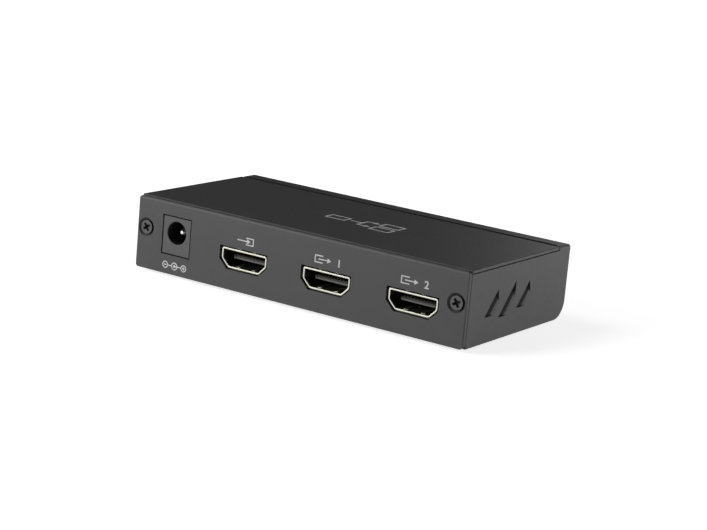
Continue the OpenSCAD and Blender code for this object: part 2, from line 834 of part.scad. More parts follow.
module jack_pin() {
    pin_l = jack_l - pin_recess + pin_tag_gap + tag_t / 2;
    color(nickel) {
        translate([jack_x, jack_y + pin_recess, jack_bore_z]) rotate([-90, 0, 0]) rotate_extrude()
            polygon([[0, 0], [pin_d / 2 - pin_chamfer, 0], [pin_d / 2, pin_chamfer],
                [pin_d / 2, pin_l], [0, pin_l]]);
        box([jack_x - tag_w / 2, pin_tag_y, leg_z],
            [jack_x + tag_w / 2, pin_tag_y + tag_t, jack_bore_z + pin_d / 2]);
    }
}

module jack_sleeve_contact() {
    tip_y = leaf_slot_y + leaf_tip;
    tip_z = bore_low - leaf_tip_drop;
    crest_y = leaf_slot_y + leaf_crest;
    crest_z = bore_low + leaf_rise;
    color(nickel) translate([jack_x, 0, 0]) along_x(leaf_w) polygon([[leaf_root_y, leaf_root_z],
        [crest_y, crest_z], [tip_y, tip_z], [tip_y, tip_z - leaf_t], [crest_y, crest_z - leaf_t],
        [leaf_root_y, leaf_root_z - leaf_t]]);
}

module jack_terminals() {
    color(nickel) {
        box([jack_x - tag_w / 2, post_y, leg_z],
            [jack_x + tag_w / 2, post_y + tag_t, leaf_root_z + post_rise]);
        box([side_tag_x, side_tag_y, leg_z], [side_tag_x + tag_t, side_tag_y + tag_w, jack_bore_z]);
    }
}

// Chips and their leads

// A moulded block with its long upper edges bevelled, lifted off the board by its leads
module chip_block(x, y, size, lift) {
    half = size[1] / 2;
    translate([x, y, board_top + lift]) along_x(size[0])
        polygon([[-half, 0], [half, 0], [half, size[2] - chip_bevel], [half - chip_bevel, size[2]],
            [chip_bevel - half, size[2]], [-half, size[2] - chip_bevel]]);
}

module splitter_chip() {
    color(black) chip_block(chip_x, chip_y, [chip_w, chip_w, chip_t], chip_lift);
}

module memory_chip() {
    color(black) chip_block(memory_x, chip_y, MEMORY, chip_lift);
}

module regulator(i) {
    color(black) chip_block(regulator_x, REGULATOR_Y[i], REGULATOR, chip_lift);
}

module protection_diode() {
    color(black) chip_block(diode_x, diode_y, DIODE, 0);
}

module clock_crystal() {
    color(tin) chip_block(crystal_x, chip_y, CRYSTAL, 0);
}

module surge_array(i) {
    color(black) chip_block(port_x[i], array_y, SURGE_ARRAY, 0);
}

// A row of bent leads along one side of a chip, the side turned from +Y
module lead_row(x, y, side, reach, count, pitch, w, rise) {
    translate([x, y, board_top]) rotate([0, 0, side]) for (k = [0:count - 1])
        translate([(k - (count - 1) / 2) * pitch, reach, 0]) along_x(w)
            polygon([[0, rise], [0, rise + lead_t], [lead_out, rise + lead_t], [lead_out, lead_t],
                [2 * lead_out, lead_t], [2 * lead_out, 0], [lead_out - lead_t, 0],
                [lead_out - lead_t, rise]]);
}

module chip_leads_group() {
    reach = REGULATOR[1] / 2;
    rise = REGULATOR[2] / 2;
    color(tin) {
        for (side = [0, 90, 180, 270])
            lead_row(chip_x, chip_y, side, chip_w / 2, chip_leads, chip_lead_pitch, chip_lead_w, chip_t / 2);
        for (side = [90, 270])
            lead_row(memory_x, chip_y, side, MEMORY[0] / 2, 4, memory_pitch, memory_lead_w, MEMORY[2] / 2);
        for (y = REGULATOR_Y) {
            lead_row(regulator_x, y, 180, reach, 3, regulator_pitch, regulator_lead_w, rise);
            lead_row(regulator_x, y, 0, reach, 1, 0, regulator_tab_w, rise);
        }
    }
}

// Small pieces of the board

module power_inductor() {
    plate = 0.6;
    waist = 0.3;
    color(ferrite_grey) {
        translate([jack_x, inductor_y, board_top]) cylinder(d = inductor_w - 2 * waist, h = inductor_h);
        block(jack_x, inductor_y, [inductor_w, inductor_w, plate]);
        translate([0, 0, inductor_h - plate]) block(jack_x, inductor_y, [inductor_w, inductor_w, plate]);
    }
}

module filter_capacitor(i) {
    base_w = filter_cap_d + 0.3;
    base_h = 0.8;
    edge = 0.4;
    gap = 1;
    x = jack_x + (i - 0.5) * (base_w + gap);
    color(tin) {
        block(x, supply_y, [base_w, base_w, base_h]);
        translate([x, supply_y, board_top]) rotate_extrude()
            polygon([[0, 0], [filter_cap_d / 2, 0], [filter_cap_d / 2, filter_cap_h - edge],
                [filter_cap_d / 2 - edge, filter_cap_h], [0, filter_cap_h]]);
    }
}

module ceramic_capacitors() {
    per_row = 8;
    ring_pitch = 3;
    color(ceramic_tan) {
        for (x = port_x, k = [0:per_row - 1])
            block(x + (k - (per_row - 1) / 2) * row_pitch, row_y, CAPACITOR);
        for (side = [-1, 1], k = [-1:1]) block(chip_x + k * ring_pitch, chip_y + side * chip_ring, CAPACITOR);
    }
}

module chip_resistors() {
    per_memory = 4;
    beside_array = SURGE_ARRAY[0] / 2 + 1.9;
    memory_row_y = chip_y + MEMORY[1] / 2 + 2;
    color(black) {
        for (x = port_x, side = [-1, 1], k = [0:1])
            block(x + side * (beside_array + k * row_pitch), array_y, RESISTOR);
        for (k = [0:per_memory - 1])
            block(memory_x + (k - (per_memory - 1) / 2) * row_pitch, memory_row_y, RESISTOR);
        for (x = lamp_x) block(x + lamp_side, board_rear_y - lamp_l, RESISTOR);
    }
}

// Lamps at the board's rear edge, and the clear pipes that carry their light to the rear face

module lamp(i) {
    color(lamp_white) translate([lamp_x[i], 0, board_top]) {
        box([-lamp_w / 2, board_rear_y - lamp_l, 0],
            [lamp_w / 2, board_rear_y - lamp_l / 2, lamp_z + lamp_w / 2]);
        translate([0, 0, lamp_z]) bar_y(lens_d, board_rear_y - lamp_l / 2 - join, board_rear_y);
    }
}

module light_pipe(i) {
    inner_y = rear_y - wall_t;
    color(pipe_clear) translate([lamp_x[i], 0, board_top + lamp_z]) {
        bar_y(light_pipe_d, board_rear_y + pipe_gap, rear_y - pipe_sink);
        bar_y(light_pipe_d + 2 * pipe_flange_w, inner_y - pipe_flange_t, inner_y);
    }
}

case_tray();
top_cover();
front_panel();
panel_screws();
for (i = [0:3]) rubber_foot(i);
circuit_board();
board_standoffs();
board_screws();
for (i = [0:2]) socket_shell(i);
for (i = [0:2]) socket_insulator(i);
for (i = [0:2]) socket_contacts(i);
jack_body();
jack_pin();
jack_sleeve_contact();
jack_terminals();
splitter_chip();
memory_chip();
for (i = [0:1]) regulator(i);
chip_leads_group();
power_inductor();
for (i = [0:1]) filter_capacitor(i);
protection_diode();
clock_crystal();
for (i = [0:2]) surge_array(i);
ceramic_capacitors();
chip_resistors();
for (i = [0:3]) lamp(i);
for (i = [0:3]) light_pipe(i);
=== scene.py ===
import math

import bmesh
import bpy
from mathutils import Matrix, Vector


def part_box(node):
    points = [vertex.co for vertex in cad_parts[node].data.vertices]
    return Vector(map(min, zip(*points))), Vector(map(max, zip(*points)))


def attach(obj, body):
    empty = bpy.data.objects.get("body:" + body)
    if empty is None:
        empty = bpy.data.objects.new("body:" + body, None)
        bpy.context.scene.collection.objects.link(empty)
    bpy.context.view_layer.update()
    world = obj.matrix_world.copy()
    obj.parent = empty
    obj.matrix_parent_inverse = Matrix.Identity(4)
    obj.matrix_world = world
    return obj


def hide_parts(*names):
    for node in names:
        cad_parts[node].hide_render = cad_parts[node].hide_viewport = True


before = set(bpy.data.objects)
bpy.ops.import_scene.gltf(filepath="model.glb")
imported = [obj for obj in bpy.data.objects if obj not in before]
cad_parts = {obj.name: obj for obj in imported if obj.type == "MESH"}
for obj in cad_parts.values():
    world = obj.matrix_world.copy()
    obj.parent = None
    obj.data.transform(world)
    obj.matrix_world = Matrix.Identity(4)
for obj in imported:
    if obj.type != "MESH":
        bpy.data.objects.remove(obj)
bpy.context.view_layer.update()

# A small video splitter: a folded steel case with a lift-off cover and a screwed connector panel.
# Sizes here are in millimetres, and the frame is in metres.
MM = 0.001

# A hair's breadth, by which a shape reaches into its neighbour or is found on a face
HAIR = 0.01
# How far a cutting shape reaches past what it cuts
PAST = 0.5
# A face looks along an axis when its normal has at least this share of it, and squarely with the second
FACING = 0.9
SQUARELY = 0.99
# Edges and faces are looked for within this distance of a place
NEAR = 0.1
# Edges bent by more than this angle, in degrees, are sharp
SHARP_ANGLE = 35
# Triangles within this angle, in degrees, make one face, and points this close make one point
FLAT_ANGLE = 0.3
FLATNESS = 0.002 * MM
# Faces over this area are shaded flat up to their borders
LARGE_FACE = 120 * MM * MM
# Edges under this length are cleared away
SLIVER = 0.001 * MM


# Selecting and editing

def deselect():
    bpy.ops.object.select_all(action="DESELECT")


def activate(piece):
    deselect()
    piece.select_set(True)
    bpy.context.view_layer.objects.active = piece


def begin_edit(piece, mode="FACE"):
    activate(piece)
    bpy.ops.object.mode_set(mode="EDIT")
    bpy.ops.mesh.select_mode(type=mode)
    bpy.ops.mesh.select_all(action="DESELECT")


def end_edit():
    bpy.ops.object.mode_set(mode="OBJECT")


def pick_all():
    bpy.ops.mesh.select_all(action="SELECT")


def pick_faces(piece, test):
    """Selects the faces whose middle, in millimetres, and normal pass the test."""
    mesh = bmesh.from_edit_mesh(piece.data)
    bpy.ops.mesh.select_all(action="DESELECT")
    for face in mesh.faces:
        if test(face.calc_center_median() / MM, face.normal):
            face.select_set(True)
    bmesh.update_edit_mesh(piece.data)


def pick_edges(piece, test):
    """Selects the edges whose two ends, in millimetres, pass the test."""
    mesh = bmesh.from_edit_mesh(piece.data)
    bpy.ops.mesh.select_all(action="DESELECT")
    for edge in mesh.edges:
        if test(edge.verts[0].co / MM, edge.verts[1].co / MM):
            edge.select_set(True)
    bmesh.update_edit_mesh(piece.data)


def round_off(radius, segments):
    """Rounds what is selected, or cuts it off flat with one segment."""
    bpy.ops.mesh.bevel(offset=radius * MM, segments=segments, affect="EDGES")


def draw_out(shift):
    """Draws the selected faces out by a shift in millimetres."""
    bpy.ops.mesh.extrude_region_move(TRANSFORM_OT_translate={"value": tuple(Vector(shift) * MM)})


def scale_about(middle, shares):
    """Scales what is selected about a point, by its share along each axis."""
    bpy.ops.transform.resize(value=shares, center_override=Vector(middle) * MM)


# Starting shapes

def box_mm(node):
    """The lowest and highest corner of a solid, in millimetres."""
    low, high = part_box(node)
    return low / MM, high / MM


def settle(name):
    """Names the new piece and puts its place into its mesh."""
    piece = bpy.context.object
    piece.name = name
    bpy.ops.object.transform_apply(location=True, rotation=True, scale=True)
    return piece


def add_block(name, low, high):
    """A box between two corners."""
    deselect()
    middle = (Vector(low) + Vector(high)) / 2
    bpy.ops.mesh.primitive_cube_add(size=MM, location=middle * MM)
    bpy.context.object.scale = Vector(high) - Vector(low)
    return settle(name)


def add_rod(name, middle, radius, length, turn=(0, 0, 0), sides=48):
    """A round bar about its middle, standing up unless it is turned."""
    deselect()
    bpy.ops.mesh.primitive_cylinder_add(
        vertices=sides, radius=radius * MM, depth=length * MM, location=Vector(middle) * MM, rotation=turn)
    return settle(name)


def add_bar(name, start, end, width, height):
    """A flat bar from one point to another, with half of its height above them."""
    start = Vector(start)
    end = Vector(end)
    along = end - start
    deselect()
    bpy.ops.mesh.primitive_cube_add(
        size=MM, location=(start + end) / 2 * MM, rotation=(0, 0, math.atan2(along.y, along.x)))
    bpy.context.object.scale = (along.length + width, width, height)
    return settle(name)


def merged_copy(node, name):
    """A copy of a solid whose loose triangles are merged into whole faces."""
    piece = bpy.data.objects.new(name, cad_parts[node].data.copy())
    bpy.context.collection.objects.link(piece)
    activate(piece)
    bpy.ops.mesh.customdata_custom_splitnormals_clear()
    begin_edit(piece)
    pick_all()
    bpy.ops.mesh.remove_doubles(threshold=FLATNESS)
    bpy.ops.mesh.dissolve_limited(angle_limit=math.radians(FLAT_ANGLE))
    end_edit()
    return piece


# Finishing

def apply_modifier(piece, kind, **settings):
    """Adds a modifier with these settings and applies it."""
    activate(piece)
    bpy.ops.object.modifier_add(type=kind)
    modifier = piece.modifiers[-1]
    for key, value in settings.items():
        setattr(modifier, key, value)
    bpy.ops.object.modifier_apply(modifier=modifier.name)


def smooth(piece, angle=SHARP_ANGLE):
    """Shades the rounded faces smooth and keeps the large ones flat up to their borders."""
    activate(piece)
    bpy.ops.object.shade_smooth_by_angle(angle=math.radians(angle))
    apply_modifier(piece, "WEIGHTED_NORMAL", keep_sharp=True, weight=100)
    data = piece.data
    large = [face for face in data.polygons if face.area > LARGE_FACE]
    planes = [(face.normal.copy(), face.normal.dot(face.center)) for face in large]
    normals = [corner.vector.copy() for corner in data.corner_normals]
    for face in data.polygons:
        places = [data.vertices[number].co for number in face.vertices]
        for normal, offset in planes:
            same_way = face.normal.dot(normal) > FACING
            if same_way and max(abs(normal.dot(place) - offset) for place in places) < FLATNESS:
                for corner in face.loop_indices:
                    normals[corner] = normal
    data.normals_split_custom_set(normals)


def clear_slivers(piece):
    """Removes the edges and faces that have shrunk to nothing."""
    begin_edit(piece)
    pick_all()
    bpy.ops.mesh.dissolve_degenerate(threshold=SLIVER)
    end_edit()


def soften(piece, width, segments=2, angle=SHARP_ANGLE):
    """Rounds the sharp edges by a small radius."""
    apply_modifier(piece, "BEVEL", width=width * MM, segments=segments, limit_method="ANGLE",
                   angle_limit=math.radians(angle), use_clamp_overlap=True, harden_normals=False)
    clear_slivers(piece)
    smooth(piece, angle)


def soften_large(piece, width, least_area, angle=SHARP_ANGLE):
    """Rounds the sharp edges between faces of at least an area in square millimetres."""
    begin_edit(piece, "EDGE")
    mesh = bmesh.from_edit_mesh(piece.data)
    for edge in mesh.edges:
        if len(edge.link_faces) == 2 and edge.calc_face_angle() > math.radians(angle):
            if min(face.calc_area() for face in edge.link_faces) > least_area * MM * MM:
                edge.select_set(True)
    bmesh.update_edit_mesh(piece.data)
    bpy.ops.mesh.bevel(offset=width * MM, segments=2, affect="EDGES", clamp_overlap=True)
    end_edit()
    smooth(piece, angle)


SPARE_Z = -60


def cut(piece, cutter):
    """Takes the cutter's shape out of a piece, and the cutter away."""
    apply_modifier(piece, "BOOLEAN", operation="DIFFERENCE", object=cutter, solver="EXACT", use_self=True)
    activate(cutter)
    bpy.ops.object.delete()


def join(pieces, name):
    """Makes one object of several."""
    deselect()
    for piece in pieces:
        piece.select_set(True)
    bpy.context.view_layer.objects.active = pieces[0]
    bpy.ops.object.join()
    pieces[0].name = name
    return pieces[0]


def fuse(pieces, name):
    """Makes one skin of pieces that overlap, by a cut with a spare block far below them."""
    piece = join(pieces, name)
    cut(piece, add_block("spare", (0, 0, SPARE_Z), (1, 1, SPARE_Z + 1)))
    clear_slivers(piece)
    return piece


def copy_piece(piece, name, shift):
    """A copy with its own mesh, moved by a shift in millimetres."""
    activate(piece)
    bpy.ops.object.duplicate(linked=False)
    bpy.ops.transform.translate(value=Vector(shift) * MM)
    return settle(name)


def repeat(piece, name, shifts):
    """One piece made of copies of another, one at each shift in millimetres."""
    copies = [copy_piece(piece, "copy", shift) for shift in shifts]
    activate(piece)
    bpy.ops.object.delete()
    return join(copies, name)


def loose_boxes(node):
    """The box of each separate solid of a node, in millimetres."""
    piece = merged_copy(node, "loose")
    begin_edit(piece)
    pick_all()
    bpy.ops.mesh.separate(type="LOOSE")
    end_edit()
    boxes = []
    for part in bpy.context.selected_objects:
        axes = list(zip(*[vertex.co / MM for vertex in part.data.vertices]))
        boxes.append((Vector([min(axis) for axis in axes]), Vector([max(axis) for axis in axes])))
    bpy.ops.object.delete()
    return sorted(boxes, key=lambda box: tuple(box[0]))


def dress(piece, finish, second=None, test=None):
    """Gives a piece its finish, and a second one to the faces whose middle and normal pass the test."""
    piece.data.materials.clear()
    piece.data.materials.append(finish)
    if second:
        piece.data.materials.append(second)
        for face in piece.data.polygons:
            face.material_index = int(test(face.center / MM, face.normal))


def fit(piece, nodes=(), body="case"):
    """Puts a piece on its body, in place of the solids that it stands for."""
    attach(piece, body)
    if nodes:
        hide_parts(*nodes)


def dressed_copy(node, name, finish, radius, body="case", segments=2):
    """A solid with its edges rounded as on the real piece."""
    piece = merged_copy(node, name)
    soften(piece, radius, segments)
    dress(piece, finish)
    fit(piece, [node], body)


# Materials

class Finish:
    """A material whose detail follows the piece, with grain sizes in millimetres."""

    def __init__(self, name, colour, roughness, metallic=0.0):
        self.material = bpy.data.materials.new(name)
        self.material.use_nodes = True
        self.tree = self.material.node_tree
        self.shader = self.tree.nodes["Principled BSDF"]
        self.set("Base Color", (*colour, 1.0))
        self.set("Roughness", roughness)
        self.set("Metallic", metallic)
        self.place = self.tree.nodes.new("ShaderNodeTexCoord").outputs["Object"]
        self.normal = None

    def set(self, socket, value):
        self.shader.inputs[socket].default_value = value

    def link(self, source, target):
        self.tree.links.new(source, target)

    def noise(self, grain, detail=2.0, stretch=(1, 1, 1)):
        """Noise with grains of about this size, drawn out along an axis by its stretch."""
        mapping = self.tree.nodes.new("ShaderNodeMapping")
        mapping.inputs["Scale"].default_value = [1 / (grain * MM * s) for s in stretch]
        self.link(self.place, mapping.inputs["Vector"])
        noise = self.tree.nodes.new("ShaderNodeTexNoise")
        noise.inputs["Scale"].default_value = 1.0
        noise.inputs["Detail"].default_value = detail
        self.link(mapping.outputs["Vector"], noise.inputs["Vector"])
        return noise.outputs["Fac"]

    def spread(self, factor, low, high, start=0.3, end=0.7):
        """The factor's middle range, spread from one number to another."""
        spread = self.tree.nodes.new("ShaderNodeMapRange")
        spread.inputs["From Min"].default_value = start
        spread.inputs["From Max"].default_value = end
        spread.inputs["To Min"].default_value = low
        spread.inputs["To Max"].default_value = high
        self.link(factor, spread.inputs["Value"])
        return spread.outputs["Result"]

    def vary_colour(self, factor, first, second):
        mix = self.tree.nodes.new("ShaderNodeMix")
        mix.data_type = "RGBA"
        mix.inputs["A"].default_value = (*first, 1.0)
        mix.inputs["B"].default_value = (*second, 1.0)
        self.link(self.spread(factor, 0.0, 1.0), mix.inputs["Factor"])
        self.link(mix.outputs["Result"], self.shader.inputs["Base Color"])

    def vary_roughness(self, factor, low, high):
        self.link(self.spread(factor, low, high), self.shader.inputs["Roughness"])

    def emboss(self, factor, height, strength=1.0):
        """Raises the surface by up to this height, on top of what was raised before."""
        bump = self.tree.nodes.new("ShaderNodeBump")
        bump.inputs["Distance"].default_value = height * MM
        bump.inputs["Strength"].default_value = strength
        self.link(factor, bump.inputs["Height"])
        if self.normal:
            self.link(self.normal, bump.inputs["Normal"])
        self.normal = bump.outputs["Normal"]
        self.link(self.normal, self.shader.inputs["Normal"])


def case_paint():
    """Satin powder coat: even dark grey with a fine orange peel."""
    finish = Finish("case_paint", (0.07, 0.07, 0.0705), 0.42)
    finish.set("Specular IOR Level", 0.3)
    finish.vary_colour(finish.noise(14, 3), (0.068, 0.068, 0.0685), (0.072, 0.072, 0.0725))
    finish.vary_roughness(finish.noise(0.9), 0.38, 0.46)
    finish.emboss(finish.noise(0.35, 3), 0.008)
    return finish.material


def metal(name, colour, low, high, grain=0.5, stretch=(1, 1, 1)):
    """Plated or bare metal with faint rolling marks."""
    finish = Finish(name, colour, (low + high) / 2, 1.0)
    marks = finish.noise(grain, 3, stretch)
    finish.vary_colour(finish.noise(2.5, 2), colour, [c * 0.92 for c in colour])
    finish.vary_roughness(marks, low, high)
    finish.emboss(marks, 0.004)
    return finish.material


def plastic(name, dark, light, low, high, grain=0.25, gloss=0.5):
    """Moulded plastic with a fine spark-eroded grain."""
    finish = Finish(name, dark, (low + high) / 2)
    finish.set("Specular IOR Level", gloss)
    finish.vary_colour(finish.noise(3, 2), dark, light)
    finish.vary_roughness(finish.noise(0.6), low, high)
    finish.emboss(finish.noise(grain, 2), 0.008)
    return finish.material


def solder_mask(name, dark, light):
    """Board lacquer with a faint weave of the glass cloth under it."""
    finish = Finish(name, dark, 0.32)
    weave = finish.noise(0.5, 1, (1, 3, 1))
    finish.vary_colour(finish.noise(5, 3), dark, light)
    finish.vary_roughness(weave, 0.26, 0.4)
    finish.emboss(weave, 0.002)
    return finish.material


def clear_plastic(name, colour):
    finish = Finish(name, colour, 0.12)
    finish.set("Transmission Weight", 0.75)
    finish.set("IOR", 1.49)
    finish.vary_roughness(finish.noise(0.4), 0.08, 0.2)
    finish.emboss(finish.noise(0.5), 0.004)
    return finish.material


paint = case_paint()
screw_paint = plastic("screw_black", (0.066, 0.066, 0.067), (0.076, 0.076, 0.077), 0.36, 0.46, 0.2)
# Near-black painted shade for the insides of recesses, bores and holes
recess_painted_shade = plastic("recess_painted_shade", (0.004, 0.004, 0.004), (0.007, 0.007, 0.007), 0.6, 0.75)
# Black painted shade for the dark line of the rear seam, on the rim's front face
seam_painted_shade = plastic("seam_painted_shade", (0.005, 0.005, 0.005), (0.008, 0.008, 0.008), 0.7, 0.85, gloss=0.2)
nickel = metal("socket_nickel", (0.56, 0.555, 0.48), 0.26, 0.4, 0.4, (1, 6, 1))
# Nickel darkened as painted shade, for the shells' inner walls behind the rim
nickel_painted_shade = metal("nickel_painted_shade", (0.10, 0.10, 0.085), 0.45, 0.6, 0.4, (1, 6, 1))
terminal_nickel = metal("terminal_nickel", (0.74, 0.73, 0.68), 0.16, 0.28)
steel = metal("plain_steel", (0.55, 0.56, 0.57), 0.28, 0.42, 0.3, (4, 1, 1))
# Gold darkened as painted shade, for the contacts that sit deep in the sockets
gold_painted_shade = metal("contact_gold", (0.18, 0.13, 0.045), 0.4, 0.55)
tin = metal("tinned_leads", (0.60, 0.61, 0.62), 0.3, 0.46)
can_metal = metal("capacitor_can", (0.70, 0.71, 0.72), 0.24, 0.36, 0.3, (1, 1, 8))
black_plastic = plastic("black_plastic", (0.007, 0.007, 0.008), (0.011, 0.011, 0.012), 0.58, 0.7)
# Light grey plastic, a painted highlight on the lower part of the black tongues
tongue_painted_light = plastic("tongue_painted_light", (0.085, 0.084, 0.08), (0.10, 0.099, 0.095), 0.36, 0.46)
jack_plastic = plastic("jack_plastic", (0.065, 0.065, 0.066), (0.072, 0.072, 0.073), 0.44, 0.54)
chip_plastic = plastic("chip_black", (0.018, 0.018, 0.019), (0.026, 0.026, 0.027), 0.5, 0.66, 0.15)
ferrite = plastic("ferrite_grey", (0.055, 0.055, 0.058), (0.075, 0.075, 0.078), 0.5, 0.68, 0.2)
ceramic = plastic("ceramic_tan", (0.36, 0.25, 0.14), (0.44, 0.32, 0.19), 0.4, 0.55, 0.12)
resistor_film = plastic("resistor_black", (0.012, 0.012, 0.014), (0.02, 0.02, 0.022), 0.25, 0.4, 0.12)
lamp_plastic = plastic("lamp_white", (0.74, 0.74, 0.70), (0.80, 0.80, 0.76), 0.3, 0.45)
lens_plastic = clear_plastic("lens_clear", (0.92, 0.90, 0.80))
pipe_plastic = clear_plastic("light_pipe_clear", (0.86, 0.90, 0.88))
rubber = plastic("foot_rubber", (0.014, 0.014, 0.014), (0.022, 0.022, 0.022), 0.68, 0.84, 0.3)
laminate = solder_mask("board_laminate", (0.010, 0.066, 0.036), (0.015, 0.084, 0.046))
glass_cloth = plastic("glass_cloth", (0.30, 0.32, 0.16), (0.38, 0.40, 0.22), 0.55, 0.7, 0.2)
wire = metal("coil_wire", (0.62, 0.25, 0.10), 0.28, 0.4)
masked_copper = solder_mask("masked_copper", (0.026, 0.14, 0.07), (0.032, 0.16, 0.082))
label_ink = plastic("label_ink", (0.60, 0.60, 0.60), (0.68, 0.68, 0.68), 0.5, 0.62, 0.1)


# Case

SHEET_EDGE_R = 0.12
COVER_EDGE_R = 0.1
SHEET_FACE = 0.5
# Where the rim's front face is painted black as shade in the rear seam: how far back from the cover, how far
# down, how far short of the ends, and how much it must face the front
SEAM_REACH = 1.2
SEAM_DEPTH = 0.6
SEAM_END = 2
SEAM_SLOPE = 0.3


def make_tray():
    """The folded tray, whose rim face in the rear seam, in front of the cover, is painted black as shade."""
    tray = merged_copy("case_tray", "folded_case_tray")
    soften_large(tray, SHEET_EDGE_R, SHEET_FACE)
    seam = box_mm("top_cover")[1].y
    corner = box_mm("case_tray")[1]

    def in_seam(place, normal):
        along_rim = abs(place.x) < corner.x - SEAM_END and place.z > corner.z - SEAM_DEPTH
        return along_rim and seam < place.y < seam + SEAM_REACH and normal.y < -SEAM_SLOPE

    # Painted shade: the rim's front face in the seam is painted black
    dress(tray, paint, seam_painted_shade, in_seam)
    fit(tray, ["case_tray"])


def make_panel():
    """The connector panel, whose edges are round already."""
    panel = merged_copy("front_panel", "connector_panel")
    smooth(panel)
    dress(panel, paint)
    fit(panel, ["front_panel"])


FOOT_EDGE_R = 0.4
TREAD_RING = 0.9
DISH_SLOPE = 0.25
DISH_DEPTH = 0.2


def make_feet():
    """Stick-on feet, each with a soft lower edge and a shallow dish in its tread."""
    low, high = box_mm("rubber_foot_1")
    first = add_rod("stick_on_foot_1", (low + high) / 2, (high.x - low.x) / 2, high.z - low.z, sides=64)
    begin_edit(first)
    pick_faces(first, lambda place, normal: normal.z < -FACING)
    round_off(FOOT_EDGE_R, 4)
    pick_faces(first, lambda place, normal: normal.z < -SQUARELY)
    bpy.ops.mesh.inset(thickness=TREAD_RING * MM)
    bpy.ops.mesh.inset(thickness=DISH_SLOPE * MM, depth=-DISH_DEPTH * MM)
    end_edit()
    smooth(first)
    dress(first, rubber)
    for number in range(2, 5):
        node = f"rubber_foot_{number}"
        foot = copy_piece(first, f"stick_on_foot_{number}", box_mm(node)[0] - low)
        fit(foot, [node])
    fit(first, ["rubber_foot_1"])


# Screws

HEAD_TRIM = 0.5
HEAD_LAND = 0.25
SHANK_D = 2.5
RECESS_W = 0.85
RECESS_L = 3.0
RECESS_DEPTH = 1.1
RECESS_LIP = 0.2
RECESS_MARGIN = 0.1
RECESS_DRAW = (0.5, 1, 0.6)
SCREW_EDGE_R = 0.06
DRIVER_TURNS = (33, 29)


def driver_recess(middle, turn):
    """One bar of a cross recess in a head that faces the front, drawn in towards its bottom."""
    half_l = RECESS_L / 2
    half_w = RECESS_W / 2
    bar = add_block("recess", (-half_l, -PAST, -half_w), (half_l, RECESS_DEPTH, half_w))
    begin_edit(bar)
    pick_faces(bar, lambda place, normal: normal.y > FACING)
    scale_about((0, RECESS_DEPTH, 0), RECESS_DRAW)
    end_edit()
    bar.rotation_euler = (0, -math.radians(turn), 0)
    bar.location = middle * MM
    activate(bar)
    return settle("recess")


def make_panel_screw(side, turn):
    """A countersunk screw: land, taper and shank drawn out of one disc, then the cross recess."""
    low, high = box_mm("panel_screws")
    radius = (high.z - low.z) / 2
    middle = Vector((side * (high.x - radius), low.y, (low.z + high.z) / 2))
    taper = radius - SHANK_D / 2
    screw = add_rod(f"panel_screw_{'left' if side < 0 else 'right'}", middle + Vector((0, HEAD_LAND / 2, 0)),
                    radius - HEAD_TRIM, HEAD_LAND, (math.pi / 2, 0, 0))
    begin_edit(screw)
    pick_faces(screw, lambda place, normal: normal.y > FACING)
    draw_out((0, taper, 0))
    waist = SHANK_D / 2 / (radius - HEAD_TRIM)
    foot = middle + Vector((0, HEAD_LAND + taper, 0))
    scale_about(foot, (waist, 1, waist))
    draw_out((0, high.y - foot.y, 0))
    end_edit()
    for bar in (turn, turn + 90):
        cut(screw, driver_recess(middle, bar))
    soften(screw, SCREW_EDGE_R)

    def in_recess(place, normal):
        offset = place - middle
        deep = RECESS_LIP < offset.y < RECESS_DEPTH + RECESS_MARGIN
        return deep and offset.xz.length < RECESS_L / 2 + RECESS_MARGIN

    # Painted shade: the faces inside the cross recess are painted near-black
    dress(screw, screw_paint, recess_painted_shade, in_recess)
    fit(screw)
    return screw


def make_panel_screws():
    """The two screws, left as their drivers left them."""
    left = make_panel_screw(-1, DRIVER_TURNS[0])
    make_panel_screw(1, DRIVER_TURNS[1])
    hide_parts("panel_screws")


# Printed marks, all generic

MARK_W = 0.3
COVER_MARK_W = 0.6
MARK_RISE = 0.012
MARK_BOLD = 0.05
CAPITAL_SHARE = 0.7
INPUT_MARK = (0.4, 15.4)
OUTPUT_MARK = (0.5, 15.45)
POLARITY_MARK_Z = 3.6
COVER_MARK = (5.5, -2.5)
SCREEN_W = 6
SCREEN_H = 3.6
SCREEN_Y = 2.6
ARROW_R = 0.8
COVER_ARROW_R = 1.2
BRACKET_HALF = 0.9
NUMBER_H = 2.0
SIGN_R = 0.85
PLUG_R = 0.95
PLUG_PIN_R = 0.42


def mark_bar(start, end, width=MARK_W):
    """A printed line from one point to another, lying flat at the origin's height."""
    return add_bar("bar", (*start, 0), (*end, 0), width, 2 * MARK_RISE)


def mark_lines(points, width=MARK_W):
    """Printed lines through a row of points."""
    return [mark_bar(start, end, width) for start, end in zip(points, points[1:])]


def mark_frame(left, near, right, far, width):
    """A printed rectangle."""
    return mark_lines([(left, near), (right, near), (right, far), (left, far), (left, near)], width)


def mark_bracket(mouth, back):
    """A printed square bracket between its open and its closed side."""
    half = BRACKET_HALF
    return mark_lines([(mouth, half), (back, half), (back, -half), (mouth, -half)])


def mark_disc(middle, radius):
    return add_rod("disc", (*middle, 0), radius, 2 * MARK_RISE)


def mark_ring(middle, radius, width=MARK_W):
    ring = mark_disc(middle, radius + width / 2)
    cut(ring, add_rod("hole", (*middle, 0), radius - width / 2, 2 * PAST))
    return ring


def mark_arrow(middle, radius):
    """A printed arrow head that points to the right."""
    return add_rod("arrow", (*middle, 0), radius, 2 * MARK_RISE, (0, 0, -math.pi / 2), 3)


